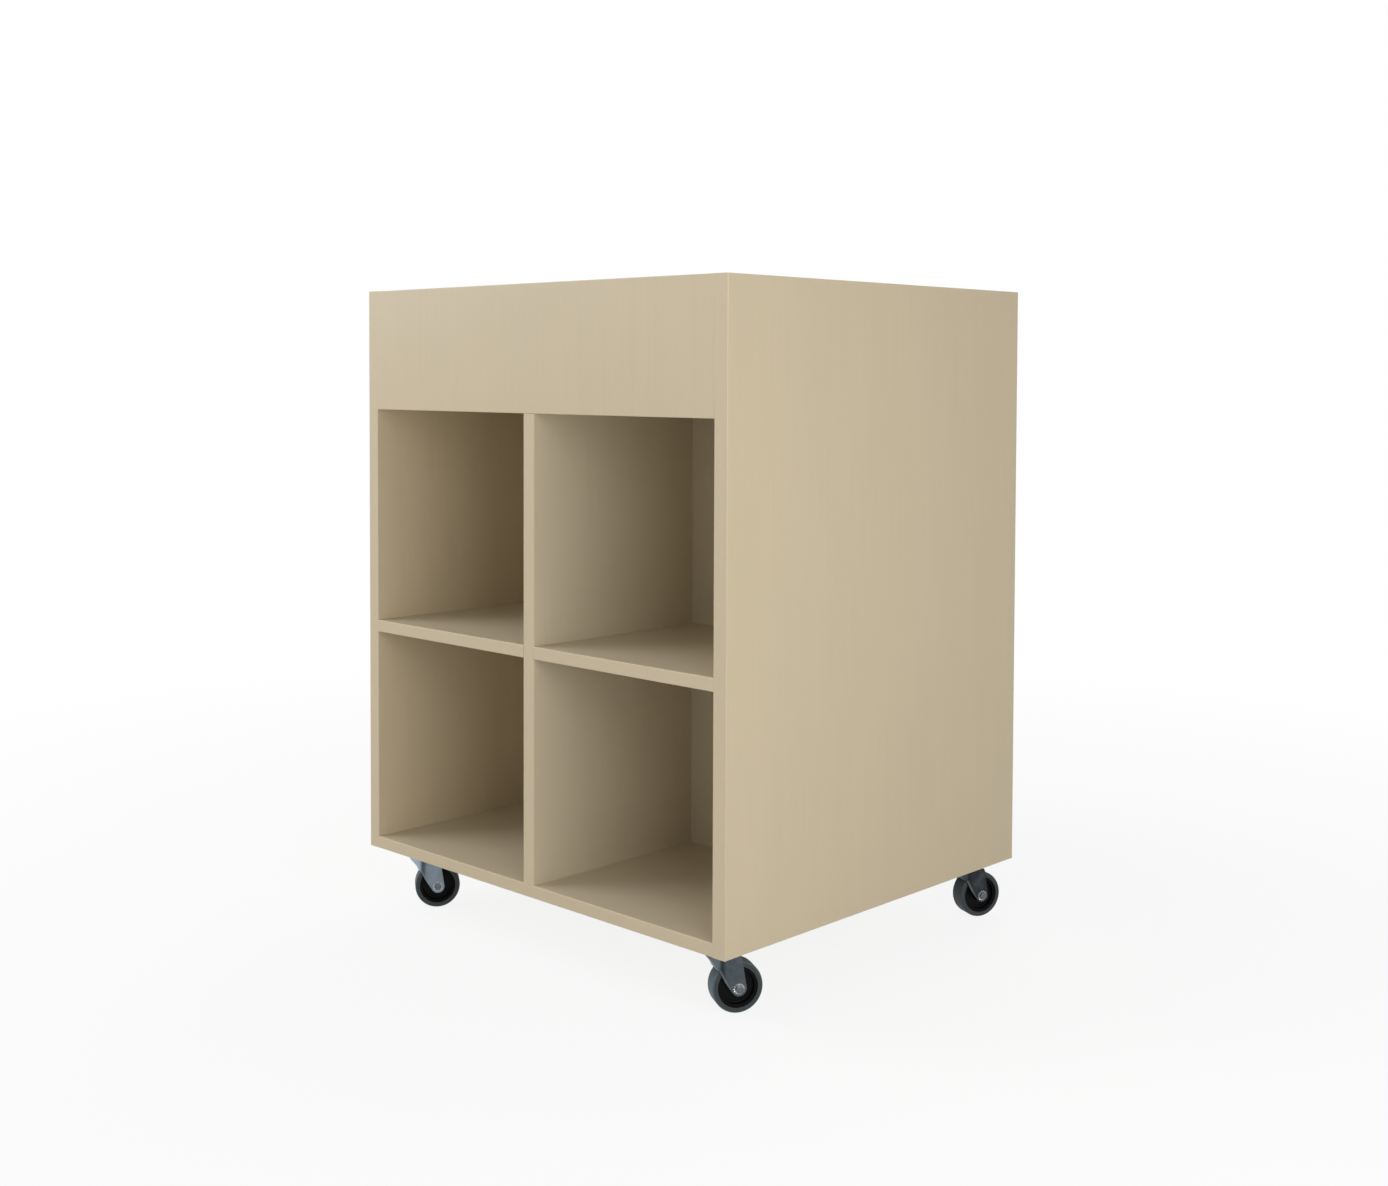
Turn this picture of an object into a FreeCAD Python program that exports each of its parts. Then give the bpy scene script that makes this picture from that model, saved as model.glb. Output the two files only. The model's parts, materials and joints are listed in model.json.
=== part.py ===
"""Picture book browser bin: a two-sided book trolley with an open browsing trough on swivel casters.

Row frame, in millimetres: the origin is on the floor under the middle of the carcass, +Z is up and
-Y is the front. Every size is a cell of the sheet "Sizes"; the sub-parts are bound to those cells.
"""
import FreeCAD, Part
import math
import os
import re

import Sketcher

DOC = FreeCAD.newDocument("BrowserBin")
SHEET = DOC.addObject("Spreadsheet::Sheet", "Sizes")
VECTOR = FreeCAD.Vector

# ---------------------------------------------------------------- driving sizes
SIZES = {
    # carcass
    "carcass_width": 750,
    "carcass_depth": 640,
    "carcass_height": 856,
    "side_thickness": 22,
    "divider_thickness": 22,
    "bottom_thickness": 18,
    "shelf_thickness": 18,
    "trough_floor_thickness": 18,
    "fascia_thickness": 18,
    "fascia_height": 180,
    "back_thickness": 8,
    "back_groove_depth": 6,
    "lower_cell_height": 317,
    "band_thickness": 2,
    "band_arris_radius": 1.2,
    "band_joint_radius": 0.3,
    # loose grid in the trough
    "grid_thickness": 12,
    "grid_height": 120,
    "grid_housing_depth": 5,
    "housing_play": 0.1,
    # dowels
    "dowel_diameter": 8,
    "dowel_end_depth": 20,
    "dowel_face_depth": 10,
    "dowel_edge_inset": 60,
    "fascia_dowel_inset": 45,
    "dowel_play": 0.1,
    "dowel_end_play": 0.5,
    # caster places: the distance of the swivel axis from the carcass faces, and where each wheel trails
    "caster_side_inset": 61.5,
    "caster_end_inset": 47,
    "heading_front_left": 54.8,
    "heading_front_right": 59.4,
    "heading_rear_left": 61,
    "heading_rear_right": 65.8,
    # caster top plate, its screws and its ball race
    "plate_side": 60,
    "plate_thickness": 2.5,
    "plate_corner_radius": 6,
    "plate_hole_spacing": 44,
    "plate_hole_diameter": 5.4,
    "screw_shank_diameter": 4.5,
    "screw_depth": 13,
    "screw_head_diameter": 8.6,
    "screw_head_height": 2.4,
    "screw_recess_depth": 1.4,
    "screw_recess_width": 0.9,
    "pilot_play": 0.1,
    "race_boss_radius": 13,
    "race_boss_height": 2.5,
    "race_radius": 9.4,
    "ball_diameter": 4,
    "ball_sink": 1,
    "ball_play": 0.1,
    "kingpin_diameter": 10,
    "kingpin_head_diameter": 16,
    "kingpin_head_height": 3.5,
    "kingpin_flare_diameter": 13.6,
    "kingpin_flare_depth": 1.8,
    # caster fork
    "fork_thickness": 2.5,
    "fork_bend_radius": 3.5,
    "crown_front_reach": 14.5,
    "crown_rear_reach": 18,
    "crown_rim_drop": 8,
    "web_gap": 2,
    "web_toe_angle": 43,
    "web_knee_lead": 4,
    "web_knee_rise": 8,
    "web_knee_radius": 12,
    "web_side_radius": 8,
    "leg_rear_reach": 4,
    "leg_shoulder_drop": 12,
    "fork_end_radius": 10,
    "wheel_headroom": 14.5,
    "wheel_trail": 27.5,
    "leg_gap": 3,
    # axle and wheel
    "axle_diameter": 6,
    "axle_hole_play": 0.1,
    "hex_across_flats": 10,
    "bolt_head_height": 4,
    "nut_height": 5,
    "axle_end_length": 2,
    "hex_chamfer": 0.8,
    "sleeve_diameter": 9,
    "running_clearance": 0.08,
    "side_clearance": 0.3,
    "wheel_diameter": 68,
    "wheel_width": 26,
    "tyre_depth": 7,
    "tyre_shoulder_radius": 3,
    "hub_boss_diameter": 19,
    "hub_web_thickness": 9,
    "hub_rim_depth": 4,
    "hub_recess": 2.5,
    "hub_fillet_radius": 1.5,
}

BALL_COUNT = 12

# ---------------------------------------------------------------- sizes that follow from them
INNER_WIDTH = "(carcass_width - 2 * side_thickness)"
CELL_WIDTH = "(%s - divider_thickness) / 2" % INNER_WIDTH
CELL_DEPTH = "(carcass_depth - back_thickness) / 2"
FORK_GAP = "(wheel_width + 2 * leg_gap)"
FORK_WIDTH = "(%s + 2 * fork_thickness)" % FORK_GAP
WHEEL_RADIUS = "(wheel_diameter / 2)"
CROWN_TOP = "(plate_thickness + race_boss_height + ball_diameter - 2 * ball_sink)"
BALL_DROP = "(plate_thickness + race_boss_height + ball_diameter / 2 - ball_sink)"
CROWN_UNDERSIDE = "(%s + fork_thickness)" % CROWN_TOP
AXLE_DROP = "(%s + wheel_headroom + %s)" % (CROWN_UNDERSIDE, WHEEL_RADIUS)
BELOW_FORK = "-(%s + %s)" % (AXLE_DROP, WHEEL_RADIUS)
CASTER_HEIGHT = "(%s + %s)" % (AXLE_DROP, WHEEL_RADIUS)
BOTTOM_TOP = "(%s + bottom_thickness)" % CASTER_HEIGHT
SHELF_UNDERSIDE = "(%s + lower_cell_height)" % BOTTOM_TOP
RIM = "(%s + carcass_height)" % CASTER_HEIGHT
FASCIA_UNDERSIDE = "(%s - fascia_height)" % RIM
TROUGH_BED = "(%s + trough_floor_thickness)" % FASCIA_UNDERSIDE

# corners of the fork's side view, from the swivel axis under the bottom board: x runs to the rear
WEB_TOE = ("(wheel_trail - (%s + web_gap) * cos(web_toe_angle) - fork_thickness)" % WHEEL_RADIUS,
           "(-%s + (%s + web_gap) * sin(web_toe_angle))" % (AXLE_DROP, WHEEL_RADIUS))
WEB_KNEE = ("(%s - web_knee_lead)" % WEB_TOE[0], "(%s + web_knee_rise)" % WEB_TOE[1])
CROWN_FRONT = ("-crown_front_reach", "-" + CROWN_TOP)
WEB_RIM = ("-crown_front_reach", "(-%s - crown_rim_drop)" % CROWN_TOP)
WEB_BEND_RADII = ("fork_bend_radius", "web_knee_radius")

# each caster: the side and the end of the carcass it stands under, and its heading
CASTERS = {
    "front_left": (-1, -1, "heading_front_left"),
    "front_right": (1, -1, "heading_front_right"),
    "rear_left": (-1, 1, "heading_rear_left"),
    "rear_right": (1, 1, "heading_rear_right"),
}

X_AXIS = VECTOR(1, 0, 0)
Y_AXIS = VECTOR(0, 1, 0)
Z_AXIS = VECTOR(0, 0, 1)
TOLERANCE = 1e-4

SUB_PARTS = []
BORES = {}
DOWELS = []


# ---------------------------------------------------------------- sheet and expressions
def fill_sheet():
    """Write every driving size into the sheet under its own alias."""
    for row, (alias, value) in enumerate(SIZES.items(), start=1):
        SHEET.set("A%d" % row, alias.replace("_", " "))
        SHEET.set("B%d" % row, str(value))
        SHEET.setAlias("B%d" % row, alias)
    DOC.recompute()


def bound(expression):
    """Write an expression's size names as references to the sheet."""
    def on_sheet(word):
        return "Sizes." * (word.group() in SIZES) + word.group()

    return re.sub(r"[a-z_]+", on_sheet, str(expression))


def number(expression):
    """The present value of an expression."""
    return float(SHEET.evalExpression(bound(expression)))


def bind(item, **expressions):
    """Bind properties of a document object to expressions."""
    for name, expression in expressions.items():
        item.setExpression(name, bound(expression))


def place(item, x, y, z):
    """Bind the position of a document object."""
    for name, expression in zip("xyz", (x, y, z)):
        item.setExpression("Placement.Base." + name, bound(expression))


# ---------------------------------------------------------------- sketches and features
def new_body(label):
    """Add an empty body."""
    return DOC.addObject("PartDesign::Body", label)


def new_sketch(body, role, label, offset=None):
    """Add a sketch on one of the body's own origin planes, or at a distance from it."""
    sketch = body.newObject("Sketcher::SketchObject", label)
    plane = next(feature for feature in body.Origin.OriginFeatures if feature.Role == role)
    sketch.AttachmentSupport = [(plane, "")]
    sketch.MapMode = "FlatFace"
    if offset is not None:
        sketch.setExpression("AttachmentOffset.Base.z", bound(offset))
    return sketch


def pin_point(sketch, geometry, position, corner):
    """Hold a point of a sketch at the coordinates given by two expressions."""
    for kind, expression in zip(("DistanceX", "DistanceY"), corner):
        rule = Sketcher.Constraint(kind, -1, 1, geometry, position, number(expression))
        index = sketch.addConstraint(rule)
        name = "at_%d_%d_%s" % (geometry, position, kind[-1].lower())
        sketch.renameConstraint(index, name)
        sketch.setExpression("Constraints." + name, bound(expression))


def pin_radius(sketch, geometry, expression):
    """Hold the radius of a circle or an arc."""
    index = sketch.addConstraint(Sketcher.Constraint("Radius", geometry, number(expression)))
    name = "radius_%d" % geometry
    sketch.renameConstraint(index, name)
    sketch.setExpression("Constraints." + name, bound(expression))


def draw_polygon(sketch, corners):
    """Close a polygon; each corner is a pair of expressions."""
    first = sketch.GeometryCount
    points = [VECTOR(number(x), number(y), 0) for x, y in corners]
    for index, point in enumerate(points):
        sketch.addGeometry(Part.LineSegment(point, points[(index + 1) % len(points)]))
    for index, corner in enumerate(corners):
        before = first + (index - 1) % len(corners)
        sketch.addConstraint(Sketcher.Constraint("Coincident", before, 2, first + index, 1))
        pin_point(sketch, first + index, 1, corner)


def draw_rectangle(sketch, x, y, width, height):
    """Draw a rectangle from its lower left corner."""
    right = "%s + %s" % (x, width)
    top = "%s + %s" % (y, height)
    draw_polygon(sketch, [(x, y), (right, y), (right, top), (x, top)])


def draw_circle(sketch, x, y, radius):
    """Draw a circle about a point."""
    centre = VECTOR(number(x), number(y), 0)
    geometry = sketch.addGeometry(Part.Circle(centre, Z_AXIS, number(radius)))
    pin_point(sketch, geometry, 3, (x, y))
    pin_radius(sketch, geometry, radius)


def draw_hexagon(sketch, across_flats):
    """Draw a hexagon about the sketch's origin, with two flats level."""
    corner = "(%s) / sqrt(3)" % across_flats
    points = []
    for step in range(6):
        points.append(("%s * cos(%d)" % (corner, 60 * step), "%s * sin(%d)" % (corner, 60 * step)))
    draw_polygon(sketch, points)


def extrude(body, kind, sketch, label, length, side="One side", backwards=False):
    """Add a Pad or a Pocket of a bound length."""
    feature = body.newObject("PartDesign::" + kind, label)
    feature.Profile = sketch
    feature.SideType = side
    feature.Reversed = backwards
    bind(feature, Length=length)
    return feature


def turn(body, kind, sketch, label, axis):
    """Add a full Revolution or Groove about an axis of its sketch."""
    feature = body.newObject("PartDesign::" + kind, label)
    feature.Profile = sketch
    feature.ReferenceAxis = (sketch, [axis])
    feature.Angle = 360
    return feature


def edge_names(shape, wanted):
    """Names of the edges for which a test of their sampled points holds."""
    names = []
    for index, edge in enumerate(shape.Edges, start=1):
        points = [vertex.Point for vertex in edge.Vertexes]
        points.append(edge.valueAt((edge.FirstParameter + edge.LastParameter) / 2))
        if wanted(points):
            names.append("Edge%d" % index)
    return names


def round_edges(body, label, radius, wanted):
    """Fillet the edges of the body's last feature for which a test holds."""
    DOC.recompute()
    last = body.Tip
    names = edge_names(last.Shape, wanted)
    if not names:
        raise RuntimeError("%s: no edge to round for %s" % (body.Label, label))
    fillet = body.newObject("PartDesign::Fillet", label)
    fillet.Base = (last, names)
    bind(fillet, Radius=radius)
    return fillet


# ---------------------------------------------------------------- boards, bands and joinery
def block(label, size, corner):
    """A rectangular piece with its lowest corner at a place; both are three expressions."""
    body = new_body(label)
    sketch = new_sketch(body, "XY_Plane", label + "_outline")
    draw_rectangle(sketch, "0", "0", size[0], size[1])
    extrude(body, "Pad", sketch, label + "_pad", size[2])
    place(body, *corner)
    return body


def edge_strip(label, size, corner, along, outward, joint=None):
    """One edge band, with the long arrises of its outer face rounded, less where a joint lies flush."""
    body = block(label, size, corner)
    DOC.recompute()
    face = max(vertex.Point.dot(outward) for vertex in body.Tip.Shape.Vertexes)
    middle = body.Tip.Shape.BoundBox.Center

    def on_outer_face(points):
        run = points[1] - points[0]
        level = all(abs(point.dot(outward) - face) < TOLERANCE for point in points)
        return level and abs(abs(run.dot(along)) - run.Length) < TOLERANCE

    def at_joint(points):
        return joint is not None and (points[0] - middle).dot(joint) > 0

    round_edges(body, label + "_arris", "band_arris_radius",
                lambda points: on_outer_face(points) and not at_joint(points))
    if joint is not None:
        round_edges(body, label + "_joint", "band_joint_radius",
                    lambda points: on_outer_face(points) and at_joint(points))
    return body


def group(label, members):
    """A sub-part of several separate solids of one kind."""
    compound = DOC.addObject("Part::Compound", label)
    compound.Links = members
    SUB_PARTS.append(compound)
    return compound


def cutter_rod(label, radius, length, middle, along):
    """A plain cylinder about a middle point, lying along X or standing along Z."""
    rod = DOC.addObject("Part::Cylinder", label)
    bind(rod, Radius=radius, Height=length)
    x, y, z = middle
    if along == "x":
        rod.Placement = FreeCAD.Placement(VECTOR(), FreeCAD.Rotation(Y_AXIS, 90))
        place(rod, "%s - (%s) / 2" % (x, length), y, z)
    else:
        place(rod, x, y, "%s - (%s) / 2" % (z, length))
    return rod


def peg(along, middle, length, boards):
    """A dowel, and its bore through the boards that it joins."""
    label = "dowel_%d" % (len(DOWELS) + 1)
    DOWELS.append(cutter_rod(label, "dowel_diameter / 2", length, middle, along))
    bore_length = "%s + 2 * dowel_end_play" % length
    bore = cutter_rod(label + "_bore", "dowel_diameter / 2 + dowel_play", bore_length, middle, along)
    for board in boards:
        BORES.setdefault(board, []).append(bore)


def end_peg(along, sign, joint, boards):
    """A dowel across a joint: its long half points along the axis by the sign, into the board's end."""
    shift = "%d * (dowel_end_depth - dowel_face_depth) / 2" % sign
    x, y, z = joint
    middle = ("%s + %s" % (x, shift), y, z) if along == "x" else (x, y, "%s + %s" % (z, shift))
    peg(along, middle, "(dowel_end_depth + dowel_face_depth)", boards)


def housing(label, size, corner, boards):
    """A groove or a halving slot, cut from the boards that it crosses."""
    cutter = DOC.addObject("Part::Box", label)
    bind(cutter, Length=size[0], Width=size[1], Height=size[2])
    place(cutter, *corner)
    for board in boards:
        BORES.setdefault(board, []).append(cutter)


def board(label, size, corner):
    """A board less its grooves and bores, as a sub-part."""
    cutters = BORES.get(label)
    if not cutters:
        SUB_PARTS.append(block(label, size, corner))
        return
    blank = block(label + "_blank", size, corner)
    tool = DOC.addObject("Part::Compound", label + "_cutters")
    tool.Links = cutters
    cut = DOC.addObject("Part::Cut", label)
    cut.Base = blank
    cut.Tool = tool
    SUB_PARTS.append(cut)


def dowel_rows(sign):
    """The two places along Y of the dowels in one half of the carcass."""
    outer = "%d * (carcass_depth / 2 - dowel_edge_inset)" % sign
    inner = "%d * (back_thickness / 2 + dowel_edge_inset)" % sign
    return outer, inner


def carcass_dowels():
    """Every dowel of the carcass, with the bores that it needs."""
    side_face = "%s / 2" % INNER_WIDTH
    bottom_middle = "(%s + bottom_thickness / 2)" % CASTER_HEIGHT
    floor_middle = "(%s + trough_floor_thickness / 2)" % FASCIA_UNDERSIDE
    shelf_middle = "(%s + shelf_thickness / 2)" % SHELF_UNDERSIDE
    fascia_rows = ("%s + fascia_dowel_inset" % FASCIA_UNDERSIDE, "%s - fascia_dowel_inset" % RIM)
    through = "(divider_thickness + 2 * dowel_end_depth)"
    for end, end_sign in (("front", -1), ("rear", 1)):
        fascia_y = "%d * (carcass_depth - fascia_thickness) / 2" % end_sign
        divider = "divider_" + end
        for row in dowel_rows(end_sign):
            end_peg("z", 1, ("0", row, BOTTOM_TOP), ["bottom_board", divider])
            end_peg("z", -1, ("0", row, FASCIA_UNDERSIDE), ["trough_floor", divider])
            shelves = ["shelf_%s_left" % end, "shelf_%s_right" % end]
            peg("x", ("0", row, shelf_middle), through, [divider] + shelves)
        for side, side_sign in (("left", -1), ("right", 1)):
            face = "%d * %s" % (side_sign, side_face)
            panel = "side_panel_" + side
            for row in dowel_rows(end_sign):
                end_peg("x", -side_sign, (face, row, bottom_middle), [panel, "bottom_board"])
                end_peg("x", -side_sign, (face, row, floor_middle), [panel, "trough_floor"])
                shelf = "shelf_%s_%s" % (end, side)
                end_peg("x", -side_sign, (face, row, shelf_middle), [panel, shelf])
            for level in fascia_rows:
                end_peg("x", -side_sign, (face, fascia_y, level), [panel, "fascia_" + end])


def carcass_housings():
    """The grooves for the middle panel and the trough grid, and the halving of the grid."""
    half_width = "(%s / 2 + back_groove_depth + housing_play)" % INNER_WIDTH
    half_back = "(back_thickness / 2 + housing_play)"
    foot = "(%s - back_groove_depth - housing_play)" % BOTTOM_TOP
    height = "(%s + back_groove_depth + housing_play) - %s" % (FASCIA_UNDERSIDE, foot)
    housing("middle_panel_groove", ("2 * " + half_width, "2 * " + half_back, height),
            ("-" + half_width, "-" + half_back, foot),
            ["side_panel_left", "side_panel_right", "bottom_board", "trough_floor"])

    half_grid = "(grid_thickness / 2 + housing_play)"
    tall = "grid_height + housing_play"
    long_reach = "(%s / 2 + grid_housing_depth + housing_play)" % INNER_WIDTH
    housing("long_grid_housing", ("2 * " + long_reach, "2 * " + half_grid, tall),
            ("-" + long_reach, "-" + half_grid, TROUGH_BED), ["side_panel_left", "side_panel_right"])
    cross_reach = "(carcass_depth / 2 - fascia_thickness + grid_housing_depth + housing_play)"
    housing("cross_grid_housing", ("2 * " + half_grid, "2 * " + cross_reach, tall),
            ("-" + half_grid, "-" + cross_reach, TROUGH_BED), ["fascia_front", "fascia_rear"])

    slot = ("2 * " + half_grid, "2 * " + half_grid, "grid_height / 2 + housing_play")
    upper = "%s + grid_height / 2" % TROUGH_BED
    lower = "%s - housing_play" % TROUGH_BED
    housing("long_grid_slot", slot, ("-" + half_grid, "-" + half_grid, upper), ["trough_grid_long"])
    housing("cross_grid_slot", slot, ("-" + half_grid, "-" + half_grid, lower), ["trough_grid_cross"])


def side_panels():
    """The two full-height sides, less the edge bands that go round them."""
    size = ("side_thickness", "carcass_depth - 2 * band_thickness", "carcass_height - 2 * band_thickness")
    y = "-carcass_depth / 2 + band_thickness"
    z = "%s + band_thickness" % CASTER_HEIGHT
    board("side_panel_left", size, ("-carcass_width / 2", y, z))
    board("side_panel_right", size, ("carcass_width / 2 - side_thickness", y, z))


def level_boards():
    """The bottom board, the four shelves and the floor of the trough."""
    inner_left = "-%s / 2" % INNER_WIDTH
    front = "-carcass_depth / 2 + band_thickness"
    board("bottom_board", (INNER_WIDTH, "carcass_depth - 2 * band_thickness", "bottom_thickness"),
          (inner_left, front, CASTER_HEIGHT))
    board("trough_floor", (INNER_WIDTH, "carcass_depth - 2 * fascia_thickness", "trough_floor_thickness"),
          (inner_left, "-carcass_depth / 2 + fascia_thickness", FASCIA_UNDERSIDE))
    shelf = (CELL_WIDTH, "%s - band_thickness" % CELL_DEPTH, "shelf_thickness")
    for end, y in (("front", front), ("rear", "back_thickness / 2")):
        board("shelf_%s_left" % end, shelf, (inner_left, y, SHELF_UNDERSIDE))
        board("shelf_%s_right" % end, shelf, ("divider_thickness / 2", y, SHELF_UNDERSIDE))


def upright_boards():
    """The dividers between the cells, the panel between the two faces, and the trough's fascias."""
    height = "%s - %s" % (FASCIA_UNDERSIDE, BOTTOM_TOP)
    divider = ("divider_thickness", "%s - band_thickness" % CELL_DEPTH, height)
    half = "-divider_thickness / 2"
    board("divider_front", divider, (half, "-carcass_depth / 2 + band_thickness", BOTTOM_TOP))
    board("divider_rear", divider, (half, "back_thickness / 2", BOTTOM_TOP))
    grooves = "2 * back_groove_depth"
    board("middle_panel",
          ("%s + %s" % (INNER_WIDTH, grooves), "back_thickness", "%s + %s" % (height, grooves)),
          ("-(%s + %s) / 2" % (INNER_WIDTH, grooves), "-back_thickness / 2",
           "%s - back_groove_depth" % BOTTOM_TOP))
    fascia = (INNER_WIDTH, "fascia_thickness", "fascia_height - 2 * band_thickness")
    level = "%s + band_thickness" % FASCIA_UNDERSIDE
    board("fascia_front", fascia, ("-%s / 2" % INNER_WIDTH, "-carcass_depth / 2", level))
    board("fascia_rear", fascia,
          ("-%s / 2" % INNER_WIDTH, "carcass_depth / 2 - fascia_thickness", level))


def trough_grid():
    """The two halved boards that part the trough into four bins."""
    long_board = ("%s + 2 * grid_housing_depth" % INNER_WIDTH, "grid_thickness", "grid_height")
    board("trough_grid_long", long_board,
          ("-%s / 2 - grid_housing_depth" % INNER_WIDTH, "-grid_thickness / 2", TROUGH_BED))
    depth = "(carcass_depth - 2 * fascia_thickness + 2 * grid_housing_depth)"
    board("trough_grid_cross", ("grid_thickness", depth, "grid_height"),
          ("-grid_thickness / 2", "-%s / 2" % depth, TROUGH_BED))


def side_bands():
    """Four strips round the edges of each side panel."""
    tall = ("side_thickness", "band_thickness", "carcass_height")
    flat = ("side_thickness", "carcass_depth - 2 * band_thickness", "band_thickness")
    front = "-carcass_depth / 2"
    rear = "carcass_depth / 2 - band_thickness"
    inset = "-carcass_depth / 2 + band_thickness"
    for side, x, inward in (("left", "-carcass_width / 2", X_AXIS),
                            ("right", "carcass_width / 2 - side_thickness", -X_AXIS)):
        name = "side_band_" + side
        group("edge_bands_side_" + side, [
            edge_strip(name + "_front", tall, (x, front, CASTER_HEIGHT), Z_AXIS, -Y_AXIS, inward),
            edge_strip(name + "_rear", tall, (x, rear, CASTER_HEIGHT), Z_AXIS, Y_AXIS, inward),
            edge_strip(name + "_top", flat, (x, inset, "%s - band_thickness" % RIM), Y_AXIS, Z_AXIS),
            edge_strip(name + "_foot", flat, (x, inset, CASTER_HEIGHT), Y_AXIS, -Z_AXIS),
        ])


def face_bands(label, pieces):
    """Strips on the front and rear ends of boards; each piece is a name, a width, a height, x and z."""
    strips = []
    for name, width, height, x, z in pieces:
        size = (width, "band_thickness", height)
        along = Z_AXIS if number(height) > number(width) else X_AXIS
        strips.append(edge_strip(name + "_front", size, (x, "-carcass_depth / 2", z), along, -Y_AXIS))
        strips.append(edge_strip(name + "_rear", size, (x, "carcass_depth / 2 - band_thickness", z),
                                 along, Y_AXIS))
    group(label, strips)


def fascia_bands():
    """Strips on the upper and lower edges of the two fascias."""
    size = (INNER_WIDTH, "fascia_thickness", "band_thickness")
    x = "-%s / 2" % INNER_WIDTH
    top = "%s - band_thickness" % RIM
    strips = []
    for end, y in (("front", "-carcass_depth / 2"), ("rear", "carcass_depth / 2 - fascia_thickness")):
        name = "fascia_band_" + end
        strips.append(edge_strip(name + "_top", size, (x, y, top), X_AXIS, Z_AXIS))
        strips.append(edge_strip(name + "_foot", size, (x, y, FASCIA_UNDERSIDE), X_AXIS, -Z_AXIS))
    group("edge_bands_fascias", strips)


def edge_bands():
    """All the bands of the carcass."""
    side_bands()
    inner_left = "-%s / 2" % INNER_WIDTH
    height = "%s - %s" % (FASCIA_UNDERSIDE, BOTTOM_TOP)
    face_bands("edge_bands_bottom_board",
               [("bottom_band", INNER_WIDTH, "bottom_thickness", inner_left, CASTER_HEIGHT)])
    face_bands("edge_bands_dividers",
               [("divider_band", "divider_thickness", height, "-divider_thickness / 2", BOTTOM_TOP)])
    face_bands("edge_bands_shelves", [
        ("shelf_band_left", CELL_WIDTH, "shelf_thickness", inner_left, SHELF_UNDERSIDE),
        ("shelf_band_right", CELL_WIDTH, "shelf_thickness", "divider_thickness / 2", SHELF_UNDERSIDE),
    ])
    fascia_bands()


# ---------------------------------------------------------------- casters
def caster_axis(side_sign, end_sign):
    """Where a caster's swivel axis stands."""
    x = "%d * (carcass_width / 2 - caster_side_inset)" % side_sign
    y = "%d * (carcass_depth / 2 - caster_end_inset)" % end_sign
    return x, y


def hole_square():
    """The four hole places of a caster plate, from its middle."""
    for x_sign in (-1, 1):
        for y_sign in (-1, 1):
            yield "%d * plate_hole_spacing / 2" % x_sign, "%d * plate_hole_spacing / 2" % y_sign


def seat_on_swivel(item, side_sign, end_sign, heading=None):
    """Hang a piece on the swivel axis, under the bottom board, turned to the heading."""
    if heading is not None:
        item.Placement = FreeCAD.Placement(VECTOR(), FreeCAD.Rotation(Z_AXIS, 1))
        item.setExpression("Placement.Rotation.Angle", bound(heading))
    place(item, *caster_axis(side_sign, end_sign), CASTER_HEIGHT)


def seat_on_axle(item, side_sign, end_sign, heading):
    """Centre a piece on the axle, behind the swivel axis by the trail."""
    item.Placement = FreeCAD.Placement(VECTOR(), FreeCAD.Rotation(Z_AXIS, 1))
    item.setExpression("Placement.Rotation.Angle", bound(heading))
    x, y = caster_axis(side_sign, end_sign)
    place(item, "%s + wheel_trail * cos(%s)" % (x, heading), "%s + wheel_trail * sin(%s)" % (y, heading),
          WHEEL_RADIUS)


def ball_track(body):
    """The ring groove that the balls run in."""
    sketch = new_sketch(body, "XZ_Plane", body.Name + "_track")
    draw_circle(sketch, "race_radius", "-" + BALL_DROP, "ball_diameter / 2 + ball_play")
    turn(body, "Groove", sketch, body.Name + "_track_cut", "V_Axis")


def top_plate(name, side_sign, end_sign):
    """The square plate that is screwed on, with the upper half of the ball race pressed in it."""
    body = new_body("caster_plate_" + name)
    outline = new_sketch(body, "XY_Plane", body.Name + "_outline")
    draw_rectangle(outline, "-plate_side / 2", "-plate_side / 2", "plate_side", "plate_side")
    for x, y in hole_square():
        draw_circle(outline, x, y, "plate_hole_diameter / 2")
    extrude(body, "Pad", outline, body.Name + "_pad", "plate_thickness", backwards=True)
    half = number("plate_side / 2")

    def at_corner(points):
        return all(abs(abs(point.x) - half) + abs(abs(point.y) - half) < TOLERANCE for point in points)

    round_edges(body, body.Name + "_corners", "plate_corner_radius", at_corner)
    boss = new_sketch(body, "XZ_Plane", body.Name + "_boss")
    seat = "-plate_thickness"
    foot = "-(plate_thickness + race_boss_height)"
    draw_polygon(boss, [("0", "%s / 2" % seat), ("race_boss_radius", "%s / 2" % seat),
                        ("race_boss_radius", "%s + race_boss_height / -2" % seat),
                        ("race_boss_radius - race_boss_height / 2", foot), ("0", foot)])
    turn(body, "Revolution", boss, body.Name + "_race", "V_Axis")
    ball_track(body)
    bore = new_sketch(body, "XZ_Plane", body.Name + "_bore")
    pin = "kingpin_diameter / 2"
    flare = "kingpin_flare_diameter / 2"
    draw_polygon(bore, [("0", "0"), (flare, "0"), (pin, "-kingpin_flare_depth"),
                        (pin, foot + " - plate_thickness"), ("0", foot + " - plate_thickness")])
    turn(body, "Groove", bore, body.Name + "_bore_cut", "V_Axis")
    seat_on_swivel(body, side_sign, end_sign)
    SUB_PARTS.append(body)


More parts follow.
